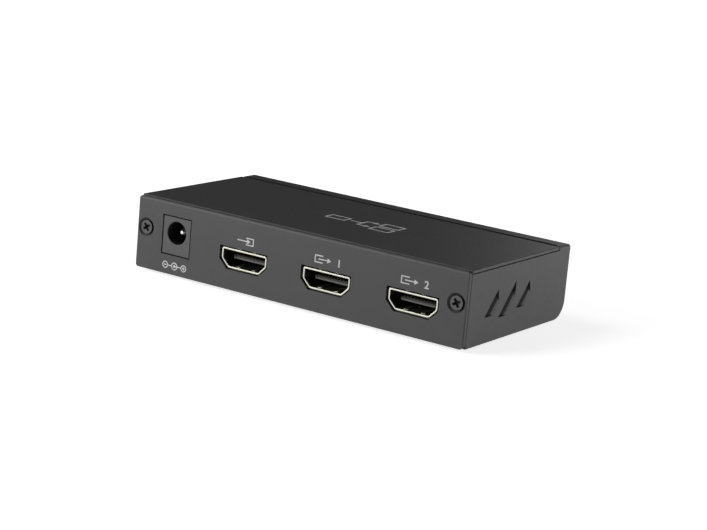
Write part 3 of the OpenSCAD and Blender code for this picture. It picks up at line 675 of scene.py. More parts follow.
def mark_number(number, middle, height):
    """A printed plain number about its middle."""
    deselect()
    bpy.ops.object.text_add(location=Vector((middle[0], middle[1] - height / 2, 0)) * MM)
    digit = bpy.context.object
    digit.data.body = str(number)
    digit.data.align_x = "CENTER"
    digit.data.size = height / CAPITAL_SHARE * MM
    digit.data.offset = MARK_BOLD * MM
    digit.data.extrude = MARK_RISE * MM
    bpy.ops.object.convert(target="MESH")
    return settle("number")


def place_mark(name, parts, place, upright, body="case"):
    """Joins the parts of a mark and lays it on the panel's face or on the cover."""
    mark = fuse(parts, name)
    mark.rotation_euler = (math.pi / 2 if upright else 0, 0, 0)
    mark.location = Vector(place) * MM
    activate(mark)
    settle(name)
    dress(mark, label_ink)
    fit(mark, (), body)


def print_marks():
    """An arrow into a bracket, two out of one, the plug's polarity, and one screen joined to two."""
    front = box_mm("front_panel")[0].y
    arrow_in = mark_bracket(0.3, 2.6)
    arrow_in += [mark_bar((-2.6, 0), (0.6, 0)), mark_arrow((0.9, 0), ARROW_R)]
    place_mark("input_mark", arrow_in, (socket_middle("input") + INPUT_MARK[0], front, INPUT_MARK[1]), True)
    for number in (1, 2):
        arrow_out = mark_bracket(-1.9, -4.2)
        arrow_out += [mark_bar((-3.0, 0), (-0.2, 0)), mark_arrow((0.1, 0), ARROW_R)]
        arrow_out.append(mark_number(number, (3.4, 0), NUMBER_H))
        x = socket_middle(f"output_{number}") + OUTPUT_MARK[0]
        place_mark(f"output_{number}_mark", arrow_out, (x, front, OUTPUT_MARK[1]), True)
    low, high = box_mm("jack_body")
    polarity = [mark_ring((-3.2, 0), SIGN_R), mark_bar((-3.5, 0), (-2.9, 0)), mark_bar((-2.2, 0), (-1.1, 0)),
                mark_ring((0, 0), PLUG_R), mark_disc((0, 0), PLUG_PIN_R), mark_bar((0.2, 0), (2.2, 0)),
                mark_ring((3.2, 0), SIGN_R), mark_bar((2.9, 0), (3.5, 0)),
                mark_bar((3.2, -0.3), (3.2, 0.3))]
    place_mark("plug_polarity_mark", polarity, ((low.x + high.x) / 2, front, POLARITY_MARK_Z), True)
    screens = []
    for x, y in ((-8.5, 0), (7.5, SCREEN_Y), (7.5, -SCREEN_Y)):
        left = x - SCREEN_W / 2
        near = y - SCREEN_H / 2
        screens += mark_frame(left, near, left + SCREEN_W, near + SCREEN_H, COVER_MARK_W)
    screens += mark_lines([(-4, 0), (-0.5, 0), (-0.5, SCREEN_Y), (2, SCREEN_Y)], COVER_MARK_W)
    screens += mark_lines([(-0.5, 0), (-0.5, -SCREEN_Y), (2, -SCREEN_Y)], COVER_MARK_W)
    screens += [mark_arrow((2.4, y), COVER_ARROW_R) for y in (SCREEN_Y, -SCREEN_Y)]
    top = box_mm("top_cover")[1].z
    place_mark("one_to_two_mark", screens, (*COVER_MARK, top), False, "cover")


# Video sockets

SOCKETS = ("input", "output_1", "output_2")
SHELL_T = 0.45
SOCKET_H = 4.5
SHELL_CHAMFER = 2.33
SHELL_CORNER_R = 0.55
SHELL_EDGE_R = 0.08
SPRING_EDGE_R = 0.05
RIM_DEPTH = 0.5
FINGER_W = 1.3
FINGER_SPREAD = 2.6
FINGER_GAP = 0.25
FINGER_RECESS = 1.2
FINGER_L = 5.4
FINGER_RISE = 0.35
FINGER_STEPS = 9
FINGER_ROOT = 0.4
FINGER_BOW = 1.2
LEG_INSET = 3
LEG_W = 1.2
LEG_R = 0.35
LEG_LIFT = 0.5
TONGUE_L = 5
# The tongue is painted light grey, a painted highlight, below this share of its height
TONGUE_LIGHT = 0.5
TONGUE_EDGE_R = 0.07
CONTACT_EDGE_R = 0.03
ARRAY_ENDS = 5
ARRAY_PITCH = 1
ARRAY_END_W = 0.36
ARRAY_END_L = 0.3
ARRAY_END_R = 0.04
ARRAY_EDGE_R = 0.06
ARRAY_SPOT_R = 0.35


def socket_middle(name):
    """The place of a socket across the panel."""
    low, high = box_mm(f"{name}_shell")
    return (low.x + high.x) / 2


def make_finger(x, wall, up, front):
    """A spring finger drawn forward from its root in steps, bowed into the socket."""
    root = front + FINGER_RECESS + FINGER_L
    low = min(wall, wall + up * SHELL_T)
    half_w = FINGER_W / 2
    finger = add_block("finger", (x - half_w, root - HAIR, low),
                       (x + half_w, root + FINGER_ROOT, low + SHELL_T))
    step = FINGER_L / FINGER_STEPS
    begin_edit(finger)
    pick_faces(finger, lambda place, normal: normal.y < -FACING)
    height = 0.0
    for number in range(1, FINGER_STEPS + 1):
        share = number / FINGER_STEPS
        next_height = FINGER_RISE * math.sin(math.pi * min(share ** FINGER_BOW, 1.0))
        rise = up * (next_height - height)
        height = next_height
        draw_out((0, -step, rise))
    end_edit()
    return finger


def make_first_shell():
    """A drawn shell: a box with its lower corners cut off, opened, thickened and pierced."""
    low, high = box_mm("input_shell")
    x = socket_middle("input")
    floor = high.z - SOCKET_H - 2 * SHELL_T
    centre = Vector((x, 0, (floor + high.z) / 2))
    shell = add_block("input_drawn_shell", (low.x, low.y, floor), (high.x, high.y, high.z))
    begin_edit(shell, "EDGE")
    pick_edges(shell, lambda a, b: abs(a.y - b.y) > NEAR and a.z < floor + NEAR)
    round_off(SHELL_CHAMFER, 1)
    pick_edges(shell, lambda a, b: abs(a.y - b.y) > NEAR)
    round_off(SHELL_CORNER_R, 5)
    bpy.ops.mesh.select_mode(type="FACE")
    pick_faces(shell, lambda place, normal: abs(normal.y) > FACING)
    bpy.ops.mesh.delete(type="FACE")
    end_edit()
    apply_modifier(shell, "SOLIDIFY", thickness=SHELL_T * MM, offset=-1, use_even_offset=True)
    window = FINGER_W / 2 + FINGER_GAP
    tip = low.y + FINGER_RECESS
    for middle in (x - FINGER_SPREAD, x + FINGER_SPREAD):
        for wall in (floor, high.z):
            cut(shell, add_block("window", (middle - window, tip - FINGER_GAP, wall - PAST),
                                 (middle + window, tip + FINGER_L, wall + PAST)))
    begin_edit(shell)
    pick_all()
    bpy.ops.mesh.bisect(plane_co=(0, (low.y + RIM_DEPTH) * MM, 0), plane_no=(0, 1, 0))
    end_edit()
    soften(shell, SHELL_EDGE_R, 3)

    def is_inside(place, normal):
        inwards = Vector((centre.x - place.x, 0, centre.z - place.z))
        return place.y > low.y + RIM_DEPTH and normal.dot(inwards) > NEAR

    # Painted shade: the inner walls behind the rim get the darkened nickel
    dress(shell, nickel, nickel_painted_shade, is_inside)
    parts = [shell]
    for side in (-1, 1):
        for wall, up in ((floor, 1), (high.z, -1)):
            finger = make_finger(x + side * FINGER_SPREAD, wall, up, low.y)
            soften(finger, SPRING_EDGE_R)
            dress(finger, nickel)
            parts.append(finger)
        left = low.x if side < 0 else high.x - SHELL_T
        for y in (low.y + LEG_INSET, high.y - LEG_INSET):
            leg = add_block("leg", (left, y - LEG_W / 2, low.z),
                            (left + SHELL_T, y + LEG_W / 2, floor + SOCKET_H / 2 + LEG_LIFT))
            begin_edit(leg, "EDGE")
            pick_edges(leg, lambda a, b: abs(a.x - b.x) > NEAR and a.z < low.z + NEAR)
            round_off(LEG_R, 3)
            end_edit()
            soften(leg, SPRING_EDGE_R)
            dress(leg, nickel)
            parts.append(leg)
    return join(parts, "input_drawn_shell")


def make_insulator():
    """The first socket's moulded block and tongue, whose tongue is painted light grey below part of its
    height as a painted highlight.
    """
    front = box_mm("input_insulator")[0].y
    insulator = merged_copy("input_insulator", "input_tongue_block")
    nose = [vertex.co.z / MM for vertex in insulator.data.vertices if vertex.co.y / MM < front + HAIR]
    split = min(nose) + TONGUE_LIGHT * (max(nose) - min(nose))
    soften(insulator, TONGUE_EDGE_R)
    begin_edit(insulator)
    pick_all()
    bpy.ops.mesh.bisect(plane_co=(0, 0, split * MM), plane_no=(0, 0, 1))
    end_edit()
    smooth(insulator)
    # Painted highlight: the tongue below the split is painted light grey
    dress(insulator, black_plastic, tongue_painted_light,
          lambda place, normal: place.y < front + TONGUE_L and place.z < split)
    return insulator


def make_contacts():
    """The first socket's row of contacts."""
    contacts = merged_copy("input_contacts", "input_contact_row")
    soften(contacts, CONTACT_EDGE_R)
    # Painted shade: the contacts get the darkened gold
    dress(contacts, gold_painted_shade)
    return contacts


def make_surge_array():
    """A small array of clamping diodes with a row of tinned ends along each side."""
    low, high = box_mm("input_surge_array")
    array = make_chip("input_surge_array", "input_clamp_array", ARRAY_EDGE_R, ARRAY_SPOT_R)
    ends = []
    for number in range(ARRAY_ENDS):
        left = low.x + (number + 0.5) * ARRAY_PITCH - ARRAY_END_W / 2
        for y in (low.y, high.y - ARRAY_END_L):
            end = add_block("end", (left, y, low.z),
                            (left + ARRAY_END_W, y + ARRAY_END_L, low.z + ARRAY_END_L))
            soften(end, ARRAY_END_R)
            dress(end, tin)
            ends.append(end)
    return join([array] + ends, "input_clamp_array")


def make_sockets():
    """Each piece of a socket is modelled once and copied to the other two."""
    pieces = (("shell", "drawn_shell", make_first_shell(), "socket_nickel"),
              ("insulator", "tongue_block", make_insulator(), "black_plastic"),
              ("contacts", "contact_row", make_contacts(), "contact_gold"),
              ("surge_array", "clamp_array", make_surge_array(), "chip_black"))
    for node, name, first, slot in pieces:
        for socket in SOCKETS[1:]:
            shift = (socket_middle(socket) - socket_middle("input"), 0, 0)
            fit(copy_piece(first, f"{socket}_{name}", shift), [f"{socket}_{node}"])
        fit(first, [f"input_{node}"])


# Power jack

BORE_R = 3.15
BORE_LIP = 0.3
BORE_MARGIN = 0.05
# The bore keeps the moulding's colour this far in, and is painted near-black as shade beyond
BORE_LIT = 0.2
JACK_EDGE_R = 0.15
PIN_R = 1.05
PIN_EDGE_R = 0.18
STRIP_EDGE_R = 0.06


def make_jack():
    """The jack's moulding, with a lip round its bore, whose inside is painted near-black as shade."""
    low, high = box_mm("jack_body")
    axis = Vector(((low.x + high.x) / 2, box_mm("jack_pin")[1].z - PIN_R))

    def from_axis(place):
        return (place.xz - axis).length

    jack = merged_copy("jack_body", "jack_moulding")
    begin_edit(jack, "EDGE")
    pick_edges(jack, lambda a, b: max(a.y, b.y) < low.y + HAIR and from_axis(a) < BORE_R + NEAR)
    round_off(BORE_LIP, 3)
    end_edit()
    soften(jack, JACK_EDGE_R, 3)
    # Painted shade: the bore's wall past its mouth is painted near-black
    dress(jack, jack_plastic, recess_painted_shade,
          lambda place, normal: from_axis(place) < BORE_R + BORE_MARGIN and place.y > low.y + BORE_LIT)
    fit(jack, ["jack_body"])


# Board

BOARD_EDGE_R = 0.08
STANDOFF_EDGE_R = 0.12
BOARD_SCREW_EDGE_R = 0.08
FOIL = 0.03


def make_board():
    """The board with its lacquered faces and the bare glass cloth at its cut edges."""
    board = merged_copy("circuit_board", "laminate_board")
    soften(board, BOARD_EDGE_R)
    dress(board, laminate, glass_cloth, lambda place, normal: abs(normal.z) < 0.5)
    fit(board, ["circuit_board"])


def add_foil(low, high):
    """A thin flat patch on the board between two points across and along it."""
    top = box_mm("circuit_board")[1].z
    return add_block("foil", (*low, top - HAIR), (*high, top + FOIL))


TRACE_W = 0.28
LINE_COUNT = 8
LINE_PITCH = 1.5
LINE_CORNER = 0.8
LINE_START = 1.4
LEAD_REACH = 0.8
FAR_LINE_GAP = 2.2
FAR_LINE_STEP = 0.6
JACK_COPPER_Y = -11.2
JACK_COPPER_W = 3.4
JACK_COPPER_LAP = 0.6
COIL_COPPER_Y = 1.6
COIL_COPPER_W = 1.8
COIL_COPPER_LAP = 0.8
SUPPLY_X = 1
SUPPLY_Y = 13
SUPPLY_W = 1.2


def add_track(points, width=TRACE_W):
    """Copper from point to point under the lacquer."""
    top = box_mm("circuit_board")[1].z
    ends = zip(points, points[1:])
    return [add_bar("track", (*start, top), (*end, top), width, FOIL) for start, end in ends]


def make_tracks():
    """Lines from each socket to one side of the splitter chip, and the wide supply copper."""
    low, high = box_mm("splitter_chip")
    middle = (low + high) / 2
    reach = (high.x - low.x) / 2 + LEAD_REACH
    row = box_mm("ceramic_capacitors")[0].y + LINE_START
    corner = LINE_CORNER
    tracks = []
    for number in range(LINE_COUNT):
        step = number - (LINE_COUNT - 1) / 2
        x = socket_middle("input") + LINE_PITCH * step
        y = middle.y - step
        tracks += add_track([(x, row), (x, y - corner), (x + corner, y), (middle.x - reach, y)])
        x = socket_middle("output_1") + LINE_PITCH * step
        y = middle.y + step
        tracks += add_track([(x, row), (x, y - corner), (x - corner, y), (middle.x + reach, y)])
        x = socket_middle("output_2") + LINE_PITCH * step
        y = middle.y + reach + FAR_LINE_GAP + FAR_LINE_STEP * number
        lead = middle.x - step
        tracks += add_track([(x, row), (x, y - corner), (x - corner, y),
                             (lead + corner, y), (lead, y - corner), (lead, middle.y + reach)])
    jack_x = box_mm("jack_pin")[0].x + PIN_R
    coil_low, coil_high = box_mm("power_inductor")
    regulator_low, regulator_high = box_mm("regulator_2")
    tracks += add_track([(jack_x, JACK_COPPER_Y), (jack_x, coil_low.y + JACK_COPPER_LAP)], JACK_COPPER_W)
    coil_y = coil_high.y - COIL_COPPER_Y
    tracks += add_track([(coil_high.x - COIL_COPPER_LAP, coil_y), (regulator_low.x, coil_y)], COIL_COPPER_W)
    supply_x = regulator_high.x - SUPPLY_X
    tracks += add_track([(supply_x, regulator_high.y), (supply_x, SUPPLY_Y), (low.x, SUPPLY_Y)], SUPPLY_W)
    piece = fuse(tracks, "copper_tracks")
    dress(piece, masked_copper)
    fit(piece)


# How far pads reach past the sides of a part, outwards from its ends and inwards from them
LEAD_PAD = 0.06
CHIP_PAD = (0.1, 0.3, 0.45)
TAIL_PAD = (0.04, 0.35, 1.2)
COIL_PAD = (-0.2, 0.6, 1.2)
CAN_PAD = (-2.05, 0.9, 0.8)
LAND_R = 3.1
# The board's axes
ACROSS = 0
ALONG = 1


def end_pads(low, high, axis, side, out, inside):
    """A pad under each of a part's two ends on an axis."""
    pads = []
    for end, away in ((low[axis], -1), (high[axis], 1)):
        near = [low.x - side, low.y - side]
        far = [high.x + side, high.y + side]
        near[axis], far[axis] = sorted((end + away * out, end - away * inside))
        pads.append(add_foil(near, far))
    return pads


def make_pads():
    """Tinned pads under the leads, the small chips, the contacts' tails, the tags and the screw heads."""
    pads = []
    for low, high in loose_boxes("chip_leads_group"):
        pads.append(add_foil((low.x - LEAD_PAD, low.y - LEAD_PAD), (high.x + LEAD_PAD, high.y + LEAD_PAD)))
    for node in ("ceramic_capacitors", "chip_resistors"):
        for low, high in loose_boxes(node):
            pads += end_pads(low, high, ALONG, *CHIP_PAD)
    side, out, inside = TAIL_PAD
    for socket in SOCKETS:
        for low, high in loose_boxes(f"{socket}_contacts"):
            pads.append(add_foil((low.x - side, high.y - inside), (high.x + side, high.y + out)))
    for node in ("power_inductor", "protection_diode"):
        pads += end_pads(*box_mm(node), ACROSS, *COIL_PAD)
    for node in ("filter_capacitor_1", "filter_capacitor_2"):
        pads += end_pads(*box_mm(node), ALONG, *CAN_PAD)
    top = box_mm("circuit_board")[1].z
    for low, high in loose_boxes("board_screws"):
        middle = (low + high) / 2
        pads.append(add_rod("land", (middle.x, middle.y, top), LAND_R, 2 * FOIL))
    piece = join(pads, "tinned_pads")
    dress(piece, tin)
    fit(piece)


SOLDER_RISE = 0.34
SOLDER_LIFT = 0.15
SOLDER_SKIRT = 0.55
SOLDER_TOP = 0.6
SOLDER_EDGE_R = 0.1
SOLDER_ANGLE = 25
PIN_TAIL = 0.3
PIN_TAIL_W = 2.0


def make_solder():
    """Solder cones round the tags and legs that go through the board."""
    top = box_mm("circuit_board")[1].z
    places = []
    for low, high in loose_boxes("jack_terminals"):
        places.append(((low + high) / 2, max(high.x - low.x, high.y - low.y)))
    for socket in SOCKETS:
        low, high = box_mm(f"{socket}_shell")
        for x in (low.x + SHELL_T / 2, high.x - SHELL_T / 2):
            for y in (low.y + LEG_INSET, high.y - LEG_INSET):
                places.append((Vector((x, y, 0)), LEG_W))
    low, high = box_mm("jack_pin")
    places.append((Vector(((low.x + high.x) / 2, high.y - PIN_TAIL, 0)), PIN_TAIL_W))
    cones = []
    for middle, length in places:
        radius = length / 2 + SOLDER_SKIRT
        cone = add_rod("solder", (middle.x, middle.y, top + SOLDER_LIFT), radius, SOLDER_RISE, sides=24)
        begin_edit(cone)
        pick_faces(cone, lambda place, normal: normal.z > FACING)
        scale_about((middle.x, middle.y, top), (SOLDER_TOP, SOLDER_TOP, 1))
        end_edit()
        soften(cone, SOLDER_EDGE_R, 3, SOLDER_ANGLE)
        cones.append(cone)
    piece = join(cones, "solder_joints")
    dress(piece, tin)
    fit(piece)


VIA_R = 0.4
VIA_BORE_R = 0.2
VIA_COLUMNS = 23
VIA_COLUMN_START = 5.5
VIA_COLUMN_PITCH = 4
VIA_ROWS = 9
VIA_ROW_START = -10.5
VIA_ROW_PITCH = 3
VIA_END_INSET = 1.2
VIA_REAR_INSET = 0.9


def make_vias():
    """A fence of plated holes round the board's edge."""
    low, high = box_mm("circuit_board")
    places = []
    for number in range(VIA_COLUMNS):
        places.append((low.x + VIA_COLUMN_START + VIA_COLUMN_PITCH * number, high.y - VIA_REAR_INSET, 0))
    for number in range(VIA_ROWS):
        y = VIA_ROW_START + VIA_ROW_PITCH * number
        places += [(low.x + VIA_END_INSET, y, 0), (high.x - VIA_END_INSET, y, 0)]
    ring = add_rod("via", (0, 0, high.z), VIA_R, 2 * FOIL, sides=16)
    dress(ring, tin)
    # Painted shade: a near-black disc stands for the dark bore of each via
    hole = add_rod("via", (0, 0, high.z), VIA_BORE_R, 2 * FOIL + 2 * HAIR, sides=16)
    dress(hole, recess_painted_shade)
    fit(repeat(join([ring, hole], "via"), "plated_holes", places))


OUTLINE_W = 0.16
PRINT_SPOT_R = 0.3
PRINT_SPOT_OUT = 0.5


def make_board_print():
    """White outlines round the larger parts, and a spot at each chip's first lead."""
    parts = []
    top = box_mm("circuit_board")[1].z
    outlines = (("splitter_chip", 1.5), ("memory_chip", 1.6), ("regulator_1", 1.6), ("regulator_2", 1.6),
                ("power_inductor", 0.9), ("protection_diode", 0.9), ("clock_crystal", 0.6),
                ("filter_capacitor_1", 0.25), ("filter_capacitor_2", 0.25))
    for node, margin in outlines:
        low, high = box_mm(node)
        left, right = low.x - margin, high.x + margin
        near, far = low.y - margin, high.y + margin
        parts += mark_frame(left, near, right, far, OUTLINE_W)
        if "chip" in node or "regulator" in node:
            parts.append(mark_disc((left - PRINT_SPOT_OUT, far), PRINT_SPOT_R))
    piece = fuse(parts, "board_print")
    piece.location = (0, 0, (top + FOIL) * MM)
    activate(piece)
    settle("board_print")
    dress(piece, label_ink)
    fit(piece)


# Parts on the board

SPOT_R = 0.5
SPOT_INSET = 2.2
SPOT_DEPTH = 0.2
CHIP_DRAFT = 0.1
CHIP_EDGE_R = 0.08
LEAD_EDGE_R = 0.04


def make_chip(node, name, radius, spot):
    """A moulded chip: sides drafted both ways from the parting line, and a spot at its first lead."""
    low, high = box_mm(node)
    middle = (low + high) / 2
    chip = add_block(name, low, (high.x, high.y, middle.z))
    begin_edit(chip)
    pick_faces(chip, lambda place, normal: normal.z > FACING)
    draw_out((0, 0, high.z - middle.z))
    shrink = (1 - 2 * CHIP_DRAFT / (high.x - low.x), 1 - 2 * CHIP_DRAFT / (high.y - low.y), 1)
    scale_about(middle, shrink)
    pick_faces(chip, lambda place, normal: normal.z < -FACING)
    scale_about(middle, shrink)
    end_edit()
    edge = SPOT_INSET * spot
    cut(chip, add_rod("spot", (low.x + edge, high.y - edge, high.z), spot, 2 * SPOT_DEPTH, sides=32))
    soften(chip, radius)
    dress(chip, chip_plastic)
    return chip


def make_chips():
    """The chips and regulators, and the leads of all of them."""
    for node, name in (("splitter_chip", "splitter_chip_moulding"), ("memory_chip", "memory_chip_moulding"),
                       ("regulator_1", "regulator_moulding_1"), ("regulator_2", "regulator_moulding_2")):
        fit(make_chip(node, name, CHIP_EDGE_R, SPOT_R), [node])
    dressed_copy("chip_leads_group", "chip_leads", tin, LEAD_EDGE_R)


COIL_TURNS = 7
COIL_PITCH = 0.26
COIL_FOOT = 0.72
COIL_INSET = 0.3
WIRE_R = 0.14
DRUM_EDGE_R = 0.15


def make_coil():
    """A ferrite drum between two plates, with its turns of wire."""
    low, high = box_mm("power_inductor")
    middle = (low + high) / 2
    coil = merged_copy("power_inductor", "ferrite_drum")
    soften(coil, DRUM_EDGE_R)
    dress(coil, ferrite)
    parts = [coil]
    radius = (high.x - low.x) / 2 - COIL_INSET
    for number in range(COIL_TURNS):
        deselect()
        place = Vector((middle.x, middle.y, low.z + COIL_FOOT + COIL_PITCH * number))
        bpy.ops.mesh.primitive_torus_add(major_segments=48, minor_segments=8, major_radius=radius * MM,
                                         minor_radius=WIRE_R * MM, location=place * MM)
        turn = settle("turn")
        smooth(turn)
        dress(turn, wire)
        parts.append(turn)
    fit(join(parts, "ferrite_drum"), ["power_inductor"])


CAN_R = 2.5
CAN_FOOT = 0.8
CAN_BEAD = 0.92
CAN_STEP = 0.2
CAN_TOP_R = 0.45
CAN_RING = 0.1
CAN_DISH = 0.06
CAN_MARK_R = 1.85
CAN_MARK_Y = 0.8
CAN_MARK_DROP = 0.055
CAN_MARK_T = 0.04
BASE_CORNER = 0.9
BASE_EDGE_R = 0.08


def make_filter_capacitor():
    """A beaded metal can on a moulded base, with a dark mark on one side of its top."""
    low, high = box_mm("filter_capacitor_1")
    middle = (low + high) / 2
    base = add_block("base", low, (high.x, high.y, low.z + CAN_FOOT))
    begin_edit(base, "EDGE")
    pick_edges(base, lambda a, b: abs(a.z - b.z) > NEAR and a.y > middle.y)
    round_off(BASE_CORNER, 1)
    end_edit()
    soften(base, BASE_EDGE_R)
    dress(base, black_plastic)
    foot = low.z + CAN_FOOT
    can = add_rod("can", (middle.x, middle.y, foot + CAN_STEP), CAN_R, 2 * CAN_STEP)
    begin_edit(can)
    pick_faces(can, lambda place, normal: normal.z > FACING)
    height = foot + 2 * CAN_STEP
    rest = high.z - foot - 5 * CAN_STEP
    for rise, width in ((CAN_STEP, CAN_BEAD), (CAN_STEP, 1), (CAN_STEP, 1 / CAN_BEAD), (rest, 1)):
        draw_out((0, 0, rise))
        height += rise
        scale_about((middle.x, middle.y, height), (width, width, 1))
    round_off(CAN_TOP_R, 4)
    pick_faces(can, lambda place, normal: normal.z > SQUARELY and place.z > high.z - NEAR)
    bpy.ops.mesh.inset(thickness=CAN_RING * MM, depth=-CAN_DISH * MM)
    end_edit()
    smooth(can)
    dress(can, can_metal)
    mark = add_rod("mark", (middle.x, middle.y, high.z - CAN_MARK_DROP), CAN_MARK_R, CAN_MARK_T)
    cut(mark, add_block("away", low, (high.x, middle.y + CAN_MARK_Y, high.z + PAST)))
    dress(mark, black_plastic)
    return join([base, can, mark], "filter_can_1")


def make_filter_capacitors():
    """Two of the cans, side by side."""
    first = make_filter_capacitor()
    shift = box_mm("filter_capacitor_2")[0] - box_mm("filter_capacitor_1")[0]
    fit(copy_piece(first, "filter_can_2", shift), ["filter_capacitor_2"])
    fit(first, ["filter_capacitor_1"])


TAG_L = 0.9
TAG_W = 1.5
TAG_H = 1.1
TAG_OUT = 0.3
TAG_EDGE_R = 0.08
DIODE_LIFT = 0.1
DIODE_TAPER = (0.9, 0.88, 1)
DIODE_EDGE_R = 0.1
BAND_PLACE = 0.75
BAND_W = 0.5
BAND_L = 2
BAND_T = 0.1
BAND_RISE = 0.03


def make_diode():
    """A moulded diode with a tinned tag at each end and a printed band at one of them."""
    low, high = box_mm("protection_diode")
    middle = (low + high) / 2
    moulding = add_block("moulding", (low.x + TAG_OUT, low.y, low.z + DIODE_LIFT),
                         (high.x - TAG_OUT, high.y, high.z - BAND_RISE))
    begin_edit(moulding)
    pick_faces(moulding, lambda place, normal: normal.z > FACING)
    scale_about((middle.x, middle.y, high.z), DIODE_TAPER)
    end_edit()
    soften(moulding, DIODE_EDGE_R)
    dress(moulding, chip_plastic)
    parts = [moulding]
    for left in (low.x, high.x - TAG_L):
        tag = add_block("tag", (left, middle.y - TAG_W / 2, low.z),
                        (left + TAG_L, middle.y + TAG_W / 2, low.z + TAG_H))
        soften(tag, TAG_EDGE_R)
        dress(tag, tin)
        parts.append(tag)
    left = low.x + BAND_PLACE
    band = add_block("band", (left, middle.y - BAND_L / 2, high.z - BAND_T),
                     (left + BAND_W, middle.y + BAND_L / 2, high.z))
    dress(band, label_ink)
    fit(join(parts + [band], "banded_diode"), ["protection_diode"])


LID_INSET = 0.3
LID_CORNER = 0.4
LID_SEAT = 0.05
LID_EDGE_R = 0.1
CRYSTAL_BASE = 0.5
CRYSTAL_EDGE_R = 0.08


def make_crystal():
    """A metal lid on a ceramic base."""
    low, high = box_mm("clock_crystal")
    base = add_block("base", low, (high.x, high.y, low.z + CRYSTAL_BASE))
    soften(base, CRYSTAL_EDGE_R)
    dress(base, chip_plastic)
    lid = add_block("lid", (low.x + LID_INSET, low.y + LID_INSET, low.z + CRYSTAL_BASE - LID_SEAT),
                    (high.x - LID_INSET, high.y - LID_INSET, high.z))
    begin_edit(lid, "EDGE")
    pick_edges(lid, lambda a, b: abs(a.z - b.z) > NEAR)
    round_off(LID_CORNER, 4)
    end_edit()
    soften(lid, LID_EDGE_R, 3)
    dress(lid, steel)
    fit(join([base, lid], "crystal_can"), ["clock_crystal"])


CAP_L = 0.36
CAP_EDGE_R = 0.06
CORE_INSET = Vector((0.03, 0.1, 0.02))
CORE_EDGE_R = 0.04


def make_end_capped(node, name, finish):
    """Small blocks with a tinned cap at each end, modelled once and copied to each place."""
    boxes = loose_boxes(node)
    low, high = boxes[0]
    core = add_block("core", low + CORE_INSET, high - CORE_INSET)
    soften(core, CORE_EDGE_R)
    dress(core, finish)
    parts = [core]
    for near in (low.y, high.y - CAP_L):
        cap = add_block("cap", (low.x, near, low.z), (high.x, near + CAP_L, high.z))
        soften(cap, CAP_EDGE_R)
        dress(cap, tin)
        parts.append(cap)
    piece = repeat(join(parts, name), name, [box[0] - low for box in boxes])
    fit(piece, [node])


LAMP_EDGE_R = 0.12
LENS_R = 0.9
DOME_R = 0.5
PIPE_EDGE_R = 0.05


def make_lamps():
    """A white block with a domed lens, and the clear rod that carries its light to the rear face."""
    low, high = box_mm("lamp_1")
    middle = (low + high) / 2
    waist = middle.y
    axis = high.z - (high.x - low.x) / 2
    block = add_block("block", low, (high.x, waist, high.z))
    soften(block, LAMP_EDGE_R)
    dress(block, lamp_plastic)
    lens_middle = (middle.x, (waist + high.y) / 2, axis)
    lens = add_rod("lens", lens_middle, LENS_R, high.y - waist, (math.pi / 2, 0, 0), 32)
    begin_edit(lens)
    pick_faces(lens, lambda place, normal: normal.y > FACING)
    round_off(DOME_R, 5)
    end_edit()
    smooth(lens)
    dress(lens, lens_plastic)
    first = join([block, lens], "lamp_block_1")
    pipe_end = box_mm("light_pipe_1")[1].y
    pipe = merged_copy("light_pipe_1", "light_rod_1")
    begin_edit(pipe)
    pick_faces(pipe, lambda place, normal: normal.y > FACING and place.y > pipe_end - HAIR)
    round_off(DOME_R, 4)
    end_edit()
    soften(pipe, PIPE_EDGE_R)
    dress(pipe, pipe_plastic)
    for number in range(2, 5):
        shift = box_mm(f"lamp_{number}")[0] - low
        fit(copy_piece(first, f"lamp_block_{number}", shift), [f"lamp_{number}"])
        fit(copy_piece(pipe, f"light_rod_{number}", shift), [f"light_pipe_{number}"])
    fit(first, ["lamp_1"])
    fit(pipe, ["light_pipe_1"])


make_tray()
dressed_copy("top_cover", "lift_off_cover", paint, COVER_EDGE_R, "cover")
make_panel()
make_feet()
make_panel_screws()
print_marks()
make_sockets()
make_jack()
dressed_copy("jack_pin", "jack_centre_pin", terminal_nickel, PIN_EDGE_R, segments=3)
dressed_copy("jack_sleeve_contact", "jack_leaf_contact", terminal_nickel, STRIP_EDGE_R,
             "sleeve_contact")
dressed_copy("jack_terminals", "jack_solder_tags", terminal_nickel, STRIP_EDGE_R)
make_board()
make_tracks()
make_pads()
make_solder()
make_vias()
make_board_print()
dressed_copy("board_standoffs", "standoff_bushes", steel, STANDOFF_EDGE_R)
dressed_copy("board_screws", "board_screw_set", steel, BOARD_SCREW_EDGE_R)
make_chips()
make_coil()
make_filter_capacitors()
make_diode()
make_crystal()
make_end_capped("ceramic_capacitors", "ceramic_capacitor_set", ceramic)
make_end_capped("chip_resistors", "chip_resistor_set", resistor_film)
make_lamps()


# Stage, light and camera, with places in metres

FLOOR_SIZE = 12
# The floor glows less near the object than away from it
DIM_REACH = 0.1
FULL_REACH = 0.6
DIM_GLOW = 0.76
ROOM_LIGHT = 0.03
LAMP_AIM = Vector((0, 0, 0.01))
CAMERA_PLACE = Vector((0.29877, -0.4542, 0.1352))
CAMERA_AZIMUTH = 33.19
CAMERA_ELEVATION = 13.117
CAMERA_ROLL = 5.162
SENSOR_W = 36
FOCAL_LENGTH = 103.7


